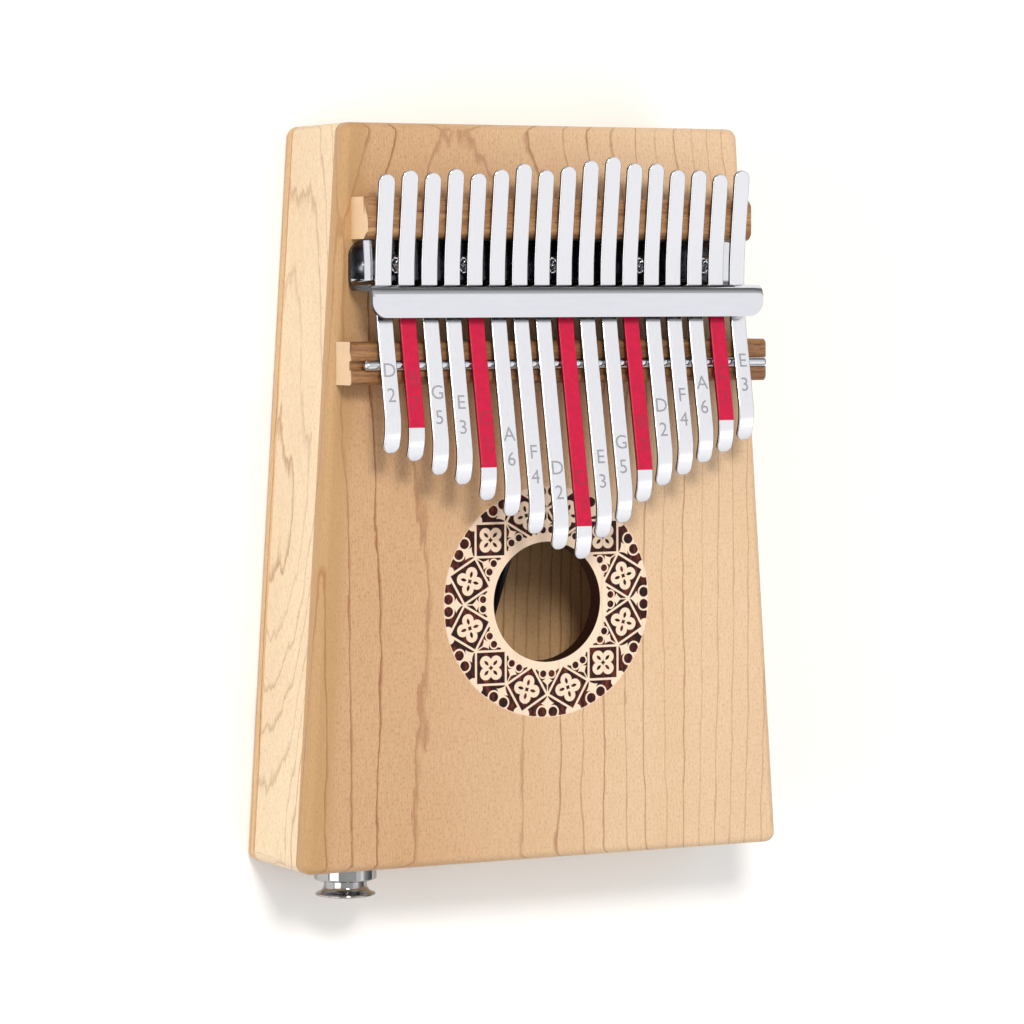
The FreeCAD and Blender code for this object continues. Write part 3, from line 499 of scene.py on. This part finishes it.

# %% [markdown]
# ## Metals
# Chrome plate, nickel-plated spring steel and a ground steel rod are all metals, so their colour is
# the reflection's colour and the rest is roughness. Perfect mirrors look computed: real plating has
# faint rolling waves and hairline wipes, drawn here as small changes of roughness and slope. The
# tongues' side walls and the bracket's cut rims get a dark steel, and the bracket's foot and web a
# darker chrome: both are painted shade.

# %% Metal finishes
def plated(name, colour, roughness, wipe=(0.4, 3.0, 0.4), wave=0.05, spread=0.05):
    material, tree, shader = new_finish(name, Metallic=1.0)
    place = in_millimetres(tree)
    wiped = node(tree, "VectorMath", {0: place, 1: wipe}, operation="MULTIPLY")
    hair = node(tree, "TexNoise", {"Vector": wiped, "Scale": 1.0, "Detail": 3.0})
    low, high = roughness - spread / 2, roughness + spread / 2
    gloss = node(tree, "MapRange", {0: hair, 1: 0.3, 2: 0.7, 3: low, 4: high})
    tone = node(tree, "MapRange", {0: hair, 1: 0.3, 2: 0.7, 3: 0.0, 4: 0.10})
    shade = blend_colour(tree, tone, linear(colour), linear("#B9BBC2"))
    rolled = node(tree, "TexNoise", {"Vector": place, "Scale": 0.12, "Detail": 1.0})
    bump = node(tree, "Bump", {"Strength": wave, "Distance": 0.0004, "Height": rolled})
    feed(tree, shader, Base_Color=shade, Roughness=gloss, Normal=bump)
    return material


chrome = plated("chrome_plate", "#DDDEE3", 0.07, wipe=(0.15, 0.9, 0.15), wave=0.02, spread=0.02)
nickel = plated("nickel_plated_spring_steel", "#E6E6EA", 0.16, wipe=(3.0, 0.3, 3.0))
ground_steel = plated("ground_steel", "#D6D7DB", 0.15, wipe=(0.2, 4.0, 4.0))
fitting_plate = plated("bright_plated_fittings", "#A9A8A7", 0.11, wipe=(3.0, 0.4, 3.0))
brass = plated("turned_brass", "#D9B365", 0.25)
# Dark steel for the tongues' side walls and the bracket's cut rims: painted shade.
side_painted_shade_steel = plated("dark_steel_painted_shade", "#38393E", 0.28)
# A darker chrome for the bracket's foot and web: painted shade under the tongues.
foot_painted_shade_chrome = plated("chrome_with_painted_shade", "#4C4D53", 0.10)
metals = (chrome, nickel, ground_steel, fitting_plate, brass, side_painted_shade_steel, foot_painted_shade_chrome)
print("metals", [m.name for m in metals])

# %% [markdown]
# ## Enamel and moulded parts
# Five tongues are dipped in red enamel to mark their notes. Enamel is a coloured body under a clear
# skin, so it gets a coat and a slight unevenness. The jack's housing is moulded plastic with a fine
# grain, the pickup's disc is a fired ceramic, and its lead has a soft black PVC sheath.

# %% Non-metal finishes
def grained(name, one, two, roughness, grain, strength=0.1, **shader_values):
    material, tree, shader = new_finish(name, Roughness=roughness, **shader_values)
    place = in_millimetres(tree)
    speck = node(tree, "TexNoise", {"Vector": place, "Scale": 1 / grain, "Detail": 3.0})
    colour = stops(node(tree, "ValToRGB", {0: speck}), (0.35, one), (0.65, two))
    low, high = roughness - 0.04, roughness + 0.04
    gloss = node(tree, "MapRange", {0: speck, 1: 0.3, 2: 0.7, 3: low, 4: high})
    bump = node(tree, "Bump", {"Strength": strength, "Distance": 0.0001, "Height": speck})
    feed(tree, shader, Base_Color=colour, Roughness=gloss, Normal=bump)
    return material


red_enamel = grained(
    "red_enamel", "#BC0438", "#CA083E", 0.34, 1.4, 0.08,
    Coat_Weight=0.08, Coat_Roughness=0.12, Specular_IOR_Level=0.25,
)
black_plastic = grained("moulded_black_plastic", "#15161A", "#1E2025", 0.45, 0.4)
ceramic = grained("fired_ceramic", "#E8E2D2", "#F1ECDD", 0.35, 0.6)
sheath = grained("black_pvc_sheath", "#0B0D12", "#14181F", 0.38, 0.5)
engraving = grained("etched_steel_mark", "#96989E", "#A9ABB1", 0.5, 0.3, Metallic=0.6)
engraving_red = grained("etched_enamel_mark", "#96102E", "#A61236", 0.5, 0.3)
print("other finishes", [m.name for m in (red_enamel, black_plastic, ceramic, sheath)])

# %% [markdown]
# ## Putting a mesh on show
# Every piece goes through the same last steps: its doubles are merged, its normals recalculated
# so that faces point outwards, its faces shaded smooth, and it is tied to the CAD body it moves
# with, given its finishes as materials, and the CAD nodes it stands for are hidden.

# %% Show a piece
MERGE = 0.002 * MM


def show(name, shape, body, finishes, stands_for=(), crease=40):
    bmesh.ops.remove_doubles(shape, verts=shape.verts, dist=MERGE)
    bmesh.ops.recalc_face_normals(shape, faces=shape.faces)
    mesh = bpy.data.meshes.new(name)
    shape.to_mesh(mesh)
    shape.free()
    mesh.shade_smooth()
    if crease:
        mesh.set_sharp_from_angle(angle=math.radians(crease))
    piece = bpy.data.objects.new(name, mesh)
    for material in finishes:
        mesh.materials.append(material)
    scene.collection.objects.link(piece)
    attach(piece, body)
    if stands_for:
        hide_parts(*stands_for)
    return piece


def even_shading(piece):
    weighted = piece.modifiers.new("even_shading", "WEIGHTED_NORMAL")
    weighted.keep_sharp = True


def round_edges(piece, width, segments, angle):
    edge = piece.modifiers.new("rounded_edges", "BEVEL")
    edge.width, edge.segments, edge.limit_method = width, segments, "ANGLE"
    edge.angle_limit = math.radians(angle)


print("ready to show pieces")

# %% [markdown]
# ## A path made of straights and arcs
# The tongues and the bracket are both cut flat and then bent, so they are modelled the same way:
# a flat strip whose Y is the distance along the strip, folded afterwards. A path is a start, a
# heading and a list of moves, each a straight length or an arc with its radius. Asking the path for
# a distance gives the point and the heading there, in the plane through Y and Z.

# %% Fold a flat strip
class Fold:
    def __init__(self, start, heading, moves):
        self.legs, self.marks = [], []
        y, z = start
        covered = 0.0
        for length, turn in moves:
            self.legs.append((covered, length, y, z, heading, turn))
            steps = max(1, round(abs(math.degrees(turn)) / 3.5))
            self.marks += [covered + length * i / steps for i in range(steps)]
            y, z, heading = self.step(y, z, heading, turn, length, length)
            covered += length
        self.length = covered

    @staticmethod
    def step(y, z, heading, turn, whole, part):
        if abs(turn) < 1e-9:
            return y + math.cos(heading) * part, z + math.sin(heading) * part, heading
        radius = whole / turn
        new = heading + turn * part / whole
        return (y + radius * (math.sin(new) - math.sin(heading)),
                z - radius * (math.cos(new) - math.cos(heading)), new)

    def at(self, distance):
        leg = [leg for leg in self.legs if leg[0] <= distance + 1e-9 or leg is self.legs[0]][-1]
        covered, length, y, z, heading, turn = leg
        return self.step(y, z, heading, turn, length, distance - covered)

    def bend(self, shape):
        for vertex in shape.verts:
            y, z, heading = self.at(vertex.co.y)
            up = vertex.co.z
            y, z = y - math.sin(heading) * up, z + math.cos(heading) * up
            vertex.co = Vector((vertex.co.x, y, z))


def cut_across(shape, distance, axis=1):
    point, normal = Vector((0, 0, 0)), Vector((0, 0, 0))
    point[axis], normal[axis] = distance, 1
    everything = shape.verts[:] + shape.edges[:] + shape.faces[:]
    bmesh.ops.bisect_plane(shape, geom=everything, dist=1e-7, plane_co=point, plane_no=normal)


print("a quarter turn of 2 mm radius is", round(math.pi, 3), "mm long")

# %% [markdown]
# ## The shape of a tongue
# Each tongue is a flat steel strip with round ends. From the tip it climbs for a moment, rolls over
# a tight curve, slopes down over the bridge rod to a long shallow bend under the bracket, and rises
# again to its tail. Its length is the only thing that differs, so the lengths are read from the CAD
# boxes, and the rest comes from the same bends that the part was made with.

# %% Tongue path
TINE_WIDTH = 4.3 * MM
TINE_THICKNESS = 1.05 * MM
FRONT_SLOPE, TAIL_SLOPE, TIP_SLOPE = (math.radians(a) for a in (10.9, 7.1, 30.0))
TIP_RADIUS, LONG_RADIUS = 13.5 * MM, 74 * MM
TIP_STRAIGHT = 0.4 * MM
ROD_Y = 32.9 * MM
LONG_BEND_Y = 51.3 * MM
ROD_TOP_Z = 44.867 * MM + (1.3 * MM + TINE_THICKNESS) / math.cos(FRONT_SLOPE)


def tongue_path(tip_y, tail_y):
    roll = TIP_SLOPE + FRONT_SLOPE
    tip_tangent = TIP_RADIUS * math.tan(roll / 2)
    sweep = FRONT_SLOPE + TAIL_SLOPE
    long_tangent = LONG_RADIUS * math.tan(sweep / 2)
    curl_y = tip_y + (tip_tangent + TIP_STRAIGHT) * math.cos(TIP_SLOPE)
    curl_z = ROD_TOP_Z + math.tan(FRONT_SLOPE) * (ROD_Y - curl_y)
    tip_z = curl_z - (tip_tangent + TIP_STRAIGHT) * math.sin(TIP_SLOPE)
    front = (LONG_BEND_Y - curl_y) / math.cos(FRONT_SLOPE) - tip_tangent - long_tangent
    rear = (tail_y - LONG_BEND_Y) / math.cos(TAIL_SLOPE) - long_tangent
    moves = [
        (TIP_STRAIGHT, 0), (TIP_RADIUS * roll, -roll), (front, 0),
        (LONG_RADIUS * sweep, sweep), (rear, 0),
    ]
    return Fold((tip_y, tip_z), TIP_SLOPE, moves)


low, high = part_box("tine_09")
middle_tongue = tongue_path(low.y, high.y)
print("longest tongue is", round(middle_tongue.length / MM, 1), "mm along the steel")
tip_height = middle_tongue.at(0)[1]
print("its tip stands at", round(tip_height / MM, 2), "mm; CAD top", round(high.z / MM, 2))

# %% [markdown]
# ## Cutting and bending seventeen tongues
# A circle is created, filled, and its far half is pulled away to make a strip with round ends.
# Extruding gives it thickness and a small bevel takes off the sharp rims, which is what catches the
# light on a real tongue. Then it is sliced wherever the path curves, so it can bend smoothly. The
# enamel ends at one of those slices: faces in front of the bracket, short of the tip, turn red.

# %% Make the tongues
TONGUES = 17
RED_TONGUES = (2, 5, 9, 12, 16)
BARE_TIP = 8.7 * MM
LIP_FRONT_Y = 44.5 * MM
ROUND_STEPS = 24
RIM_BEVEL = 0.26 * MM
STEEL, ENAMEL, SHADED_SIDE = 0, 1, 2


def flat_tongue(length):
    shape = bmesh.new()
    half_step = math.pi / ROUND_STEPS
    radius = TINE_WIDTH / 2 / math.cos(half_step)
    bmesh.ops.create_circle(shape, cap_ends=True, segments=ROUND_STEPS, radius=radius)
    bmesh.ops.rotate(shape, verts=shape.verts, matrix=Matrix.Rotation(half_step, 3, "Z"))
    bmesh.ops.translate(shape, verts=shape.verts, vec=(0, TINE_WIDTH / 2, 0))
    far = [v for v in shape.verts if v.co.y > TINE_WIDTH / 2]
    bmesh.ops.translate(shape, verts=far, vec=(0, length - TINE_WIDTH, 0))
    pulled = bmesh.ops.extrude_face_region(shape, geom=shape.faces[:])["geom"]
    under = [g for g in pulled if isinstance(g, bmesh.types.BMVert)]
    bmesh.ops.translate(shape, verts=under, vec=(0, 0, -TINE_THICKNESS))
    bmesh.ops.recalc_face_normals(shape, faces=shape.faces)
    rims = [e for e in shape.edges if abs(e.verts[0].co.z - e.verts[1].co.z) < 1e-6]
    bmesh.ops.bevel(
        shape, geom=rims, offset=RIM_BEVEL, segments=3, profile=0.5, affect="EDGES", material=-1
    )
    return shape


for number in range(1, TONGUES + 1):
    label = f"tine_{number:02d}"
    low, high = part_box(label)
    path = tongue_path(low.y, high.y)
    shape = flat_tongue(path.length)
    lip_at = path.length - (high.y - LIP_FRONT_Y) / math.cos(TAIL_SLOPE)
    for distance in (*path.marks, BARE_TIP, lip_at):
        cut_across(shape, distance)
    shape.normal_update()
    for face in shape.faces:
        middle = face.calc_center_median().y
        painted_red = number in RED_TONGUES and BARE_TIP < middle < lip_at
        face.material_index = ENAMEL if painted_red else STEEL
        # Upright side faces take the dark steel: painted shade along each tongue's edges.
        if abs(face.normal.z) < 0.2:
            face.material_index = SHADED_SIDE
    path.bend(shape)
    bmesh.ops.translate(shape, verts=shape.verts, vec=((low.x + high.x) / 2, 0, 0))
    slot = "tine_steel_red" if number in RED_TONGUES else "tine_steel"
    finishes = (nickel, red_enamel, side_painted_shade_steel)
    name, body = f"tongue_{number:02d}", f"{label}_tongue"
    even_shading(show(name, shape, body, finishes, (label,)))
print("tongues made", TONGUES, "red", RED_TONGUES)

# %% [markdown]
# ## Note marks
# Near each tip the maker etched the note's letter and, below it, its number in the scale. They are
# lettering of the plainest kind, so a text curve is enough: it is given a little depth, made a
# mesh, set a hair into the steel and folded along the same path as its tongue.

# %% Etch the marks
NOTES = "D B G E C A F D C E G B D F A C E".split()
DEGREES = "2 7 5 3 1 6 4 2 1 3 5 7 2 4 6 1 3".split()
MARK_RISE, MARK_HALF_DEPTH = 0.006 * MM, 0.010 * MM
SIGN_SIZE = 5.0 * MM
LETTER_FROM_TIP, DEGREE_FROM_TIP = 20.8 * MM, 14.6 * MM


def etched(sign, size, centre):
    text = bpy.data.curves.new("mark", "FONT")
    text.body, text.size = sign, size
    text.align_x, text.align_y = "CENTER", "CENTER"
    text.extrude = MARK_HALF_DEPTH
    text.resolution_u = 3
    holder = bpy.data.objects.new("mark", text)
    scene.collection.objects.link(holder)
    bpy.context.view_layer.update()
    mesh = bpy.data.meshes.new_from_object(holder)
    bpy.data.objects.remove(holder)
    mesh.transform(Matrix.Translation((0, centre, MARK_RISE)))
    return mesh


for number in range(1, TONGUES + 1):
    label = f"tine_{number:02d}"
    low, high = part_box(label)
    path = tongue_path(low.y, high.y)
    shape = bmesh.new()
    signs = ((NOTES[number - 1], LETTER_FROM_TIP), (DEGREES[number - 1], DEGREE_FROM_TIP))
    for sign, place_along in signs:
        mesh = etched(sign, SIGN_SIZE, place_along)
        shape.from_mesh(mesh)
        bpy.data.meshes.remove(mesh)
    path.bend(shape)
    bmesh.ops.translate(shape, verts=shape.verts, vec=((low.x + high.x) / 2, 0, 0))
    red = number in RED_TONGUES
    slot, mark = ("tine_steel_red", engraving_red) if red else ("tine_steel", engraving)
    show(f"mark_{number:02d}", shape, f"{label}_tongue", (mark,))
print("marks", list(zip(NOTES, DEGREES)))

# %% [markdown]
# ## The pressed bracket
# One strip of steel holds all the tongues down. It is pressed into a Z: a foot screwed to the top,
# an upright web with a window for every tongue, and a lip that folds forward over them. Modelling
# it flat first makes the windows simple rectangles and lets the bends stay true to thickness. The
# blank is a circle whose halves are pulled apart both ways, which leaves a round at each corner.

# %% Cut the blank
SOUNDBOX = "soundbox"
low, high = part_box("tine_bracket")
PLATE = 1.5 * MM
INNER_BEND = 1.5 * MM
WEB_Y = 51.8 * MM
BEND_MID = INNER_BEND + PLATE / 2
foot = high.y - WEB_Y - BEND_MID
lip = WEB_Y - low.y - BEND_MID
web = high.z - low.z - PLATE - 2 * BEND_MID
quarter = math.pi / 2
bend = BEND_MID * quarter
bracket_path = Fold(
    (high.y, low.z + PLATE / 2), math.pi,
    [(foot, 0), (bend, -quarter), (web, 0), (bend, quarter), (lip, 0)],
)
blank_width = high.x - low.x
shape = bmesh.new()
CORNER = 4 * MM
CORNER_STEPS = 36
half_step = math.pi / CORNER_STEPS
bmesh.ops.create_circle(shape, cap_ends=True, segments=CORNER_STEPS, radius=CORNER)
bmesh.ops.rotate(shape, verts=shape.verts, matrix=Matrix.Rotation(half_step, 3, "Z"))
for sign in (-1, 1):
    half = [v for v in shape.verts if v.co.x * sign > 0]
    bmesh.ops.translate(shape, verts=half, vec=(sign * (blank_width / 2 - CORNER), 0, 0))
    half = [v for v in shape.verts if v.co.y * sign > 0]
    bmesh.ops.translate(shape, verts=half, vec=(0, sign * (bracket_path.length / 2 - CORNER), 0))
middle = ((low.x + high.x) / 2, bracket_path.length / 2, 0)
bmesh.ops.translate(shape, verts=shape.verts, vec=middle)
print("blank is", round(blank_width / MM, 1), "by", round(bracket_path.length / MM, 1), "mm")

# %% Punch the windows, fold and thicken
WINDOW_LOW_Z, WINDOW_HIGH_Z = 42.64 * MM, 45.99 * MM
WINDOW_HALF = 2.55 * MM
PITCH_X = 6.25 * MM
web_start = foot + bend
z_at_web = low.z + PLATE / 2 + BEND_MID
window = [web_start + (z - z_at_web) for z in (WINDOW_LOW_Z, WINDOW_HIGH_Z)]
for distance in (*bracket_path.marks, *window):
    cut_across(shape, distance)
columns = [(number - 9) * PITCH_X for number in range(1, TONGUES + 1)]
for column in columns:
    cut_across(shape, column - WINDOW_HALF, 0)
    cut_across(shape, column + WINDOW_HALF, 0)
punched = [
    f for f in shape.faces
    if window[0] < f.calc_center_median().y < window[1]
    and any(abs(f.calc_center_median().x - c) < WINDOW_HALF for c in columns)
]
bmesh.ops.delete(shape, geom=punched, context="FACES")
# The foot and web, up to just past the windows and inside the outer windows, take the darker
# chrome: painted shade under the tongues.
SHADED_PAST_WINDOW = 1.5 * MM
for face in shape.faces:
    middle = face.calc_center_median()
    behind_lip = middle.y < window[1] + SHADED_PAST_WINDOW
    under_tongues = behind_lip and abs(middle.x) < columns[-1] - WINDOW_HALF
    face.material_index = int(under_tongues)
bracket_path.bend(shape)
finishes = (chrome, foot_painted_shade_chrome, side_painted_shade_steel)
bracket = show("pressed_bracket", shape, SOUNDBOX, finishes, ("tine_bracket",), crease=0)
wall = bracket.modifiers.new("steel_thickness", "SOLIDIFY")
wall.thickness, wall.offset = PLATE, 0.0
# The plate's cut rims take the dark steel too: painted shade.
wall.material_offset_rim = 2
round_edges(bracket, 0.35 * MM, segments=3, angle=40)
even_shading(bracket)
print("windows punched", len(punched))

# %% [markdown]
# ## Turned pieces
# The rod under the tongues, the strap button and its collar all come off a lathe. A lathe is a
# spin: the half-outline is a chain of points, distance along the axis and radius, and one full spin
# sweeps it round. The seam is merged by the spin itself and the ends run to the axis.

# %% Lathe
def turned(outline, origin, axis, steps=48):
    shape = bmesh.new()
    chain = [shape.verts.new((radius, 0, along)) for along, radius in outline]
    edges = [shape.edges.new(pair) for pair in zip(chain, chain[1:])]
    bmesh.ops.spin(shape, geom=chain + edges, cent=(0, 0, 0), axis=(0, 0, 1), dvec=(0, 0, 0),
                   angle=2 * math.pi, steps=steps, use_merge=True, use_duplicate=False)
    bmesh.ops.remove_doubles(shape, verts=shape.verts, dist=1e-6)
    aim = Vector((0, 0, 1)).rotation_difference(Vector(axis)).to_matrix().to_4x4()
    bmesh.ops.transform(shape, matrix=Matrix.Translation(origin) @ aim, verts=shape.verts)
    return shape


low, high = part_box("bridge_rod")
ROD_RADIUS = (high.z - low.z) / 2
rod_length = high.x - low.x
DOME = 0.8 * MM
DOME_STEPS = 4
dome = [
    (DOME * (1 - math.cos(t)), ROD_RADIUS - DOME * (1 - math.sin(t)))
    for t in (math.pi / 2 * i / DOME_STEPS for i in range(DOME_STEPS + 1))
]
far_dome = [(rod_length - along, radius) for along, radius in reversed(dome)]
outline = [(0, 0), *dome, *far_dome, (rod_length, 0)]
origin = (low.x, (low.y + high.y) / 2, (low.z + high.z) / 2)
rod = turned(outline, origin, (1, 0, 0), steps=32)
show("ground_rod", rod, SOUNDBOX, (ground_steel,), ("bridge_rod",))
print("rod", round(rod_length / MM, 1), "mm long,", round(2 * ROD_RADIUS / MM, 2), "mm thick")

# %% [markdown]
# ## The strap button and its collar
# The plug socket doubles as a strap button: a thick collar against the wood, then a waisted neck
# that flares to a thin rim. Both are rings, because the socket's barrel runs through them. The
# outline is therefore a closed loop: out along the bore, round the outside and back to its start.

# %% Turn the collar
BORE = 4.75 * MM
COLLAR_RADIUS, COLLAR_LENGTH, COLLAR_ROUND = 7.9 * MM, 4.0 * MM, 0.5 * MM
LATHE_STEPS = 72
low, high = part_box("jack_collar")
collar_origin = ((low.x + high.x) / 2, high.y, (low.z + high.z) / 2)


def quarter_turn(steps):
    return [math.pi / 2 * i / steps for i in range(steps + 1)]


def fitting(name, outline, stands_for):
    shape = turned(outline, collar_origin, (0, -1, 0), LATHE_STEPS)
    even_shading(show(name, shape, SOUNDBOX, (fitting_plate,), (stands_for,)))


collar_corner = [
    (COLLAR_LENGTH - COLLAR_ROUND * (1 - math.sin(t)),
     COLLAR_RADIUS - COLLAR_ROUND * (1 - math.cos(t)))
    for t in quarter_turn(5)
]
fitting(
    "socket_collar",
    [(0, BORE), (0, COLLAR_RADIUS), *collar_corner, (COLLAR_LENGTH, BORE), (0, BORE)],
    "jack_collar",
)
print("collar", round(2 * COLLAR_RADIUS / MM, 1), "mm across")

# %% Turn the button
NECK_RADIUS, RIM_RADIUS, BUTTON_LENGTH = 5.45 * MM, 7.6 * MM, 4.0 * MM
RIM_HALF = 0.35 * MM
start = COLLAR_LENGTH
end = start + BUTTON_LENGTH
flare = RIM_RADIUS - NECK_RADIUS
flare_points = [
    (end - 2 * RIM_HALF - flare * (1 - math.sin(t)),
     min(NECK_RADIUS + flare * (1 - math.cos(t)), RIM_RADIUS - RIM_HALF))
    for t in quarter_turn(12)
]
rim_points = [
    (end - RIM_HALF - RIM_HALF * math.cos(t), RIM_RADIUS - RIM_HALF + RIM_HALF * math.sin(t))
    for t in (math.pi * i / 8 for i in range(1, 9))
]
outside = [(start, NECK_RADIUS), *flare_points, *rim_points]
fitting(
    "waisted_strap_button", [(start, BORE), *outside, (end, BORE), (start, BORE)], "strap_button"
)
print("button reaches", round(end / MM, 1), "mm out from the wood")

# %% [markdown]
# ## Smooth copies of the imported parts
# The CAD nodes arrive as loose triangles. Their shape is right, but loose triangles shade flat, and
# lacquered wood shows that along every rounded edge. A copy with its points merged and its normals
# made even keeps the same shape and lets the light roll over the edges. The visible boards, the
# bridges and the jack's fittings get such a copy, and the hidden fittings keep the CAD mesh.

# %% Copy, merge and finish
def smooth_copy(label, finish):
    shape = bmesh.new()
    shape.from_mesh(nodes[label].data)
    copy_name = f"{label}_finished"
    even_shading(show(copy_name, shape, SOUNDBOX, (finish,), (label,), crease=30))


SMOOTH = (
    ("top_plate", maple_front, "maple"), ("back_plate", maple_back, "maple"),
    ("left_side", maple_side, "maple"), ("right_side", maple_right, "maple"),
    ("head_end", maple_end, "maple"), ("tail_end", maple_end, "maple"),
    ("rear_bridge", bridge_wood, "bridge_wood"),
    ("front_bridge", front_bridge_wood, "bridge_wood"),
    ("jack_barrel", fitting_plate, "chrome"), ("bracket_screws", chrome, "chrome"),
    ("jack_washer", ground_steel, "polished_steel"), ("jack_nut", ground_steel, "polished_steel"),
    ("jack_housing", black_plastic, "black_plastic"), ("pickup_lead", sheath, "lead_sheath"),
)
for label, finish, slot in SMOOTH:
    smooth_copy(label, finish)
print("smooth copies", len(SMOOTH))

# %% Finishes for the CAD nodes that stay
KEPT = {
    "screw_block": brace_wood, "contact_spring": brass, "solder_lugs": brass,
    "piezo_disc": brass, "piezo_ceramic": ceramic,
}
for label, finish in KEPT.items():
    nodes[label].data.materials.clear()
    nodes[label].data.materials.append(finish)
shown = [label for label, piece in nodes.items() if not piece.hide_render]
print("CAD nodes still on show", sorted(shown))
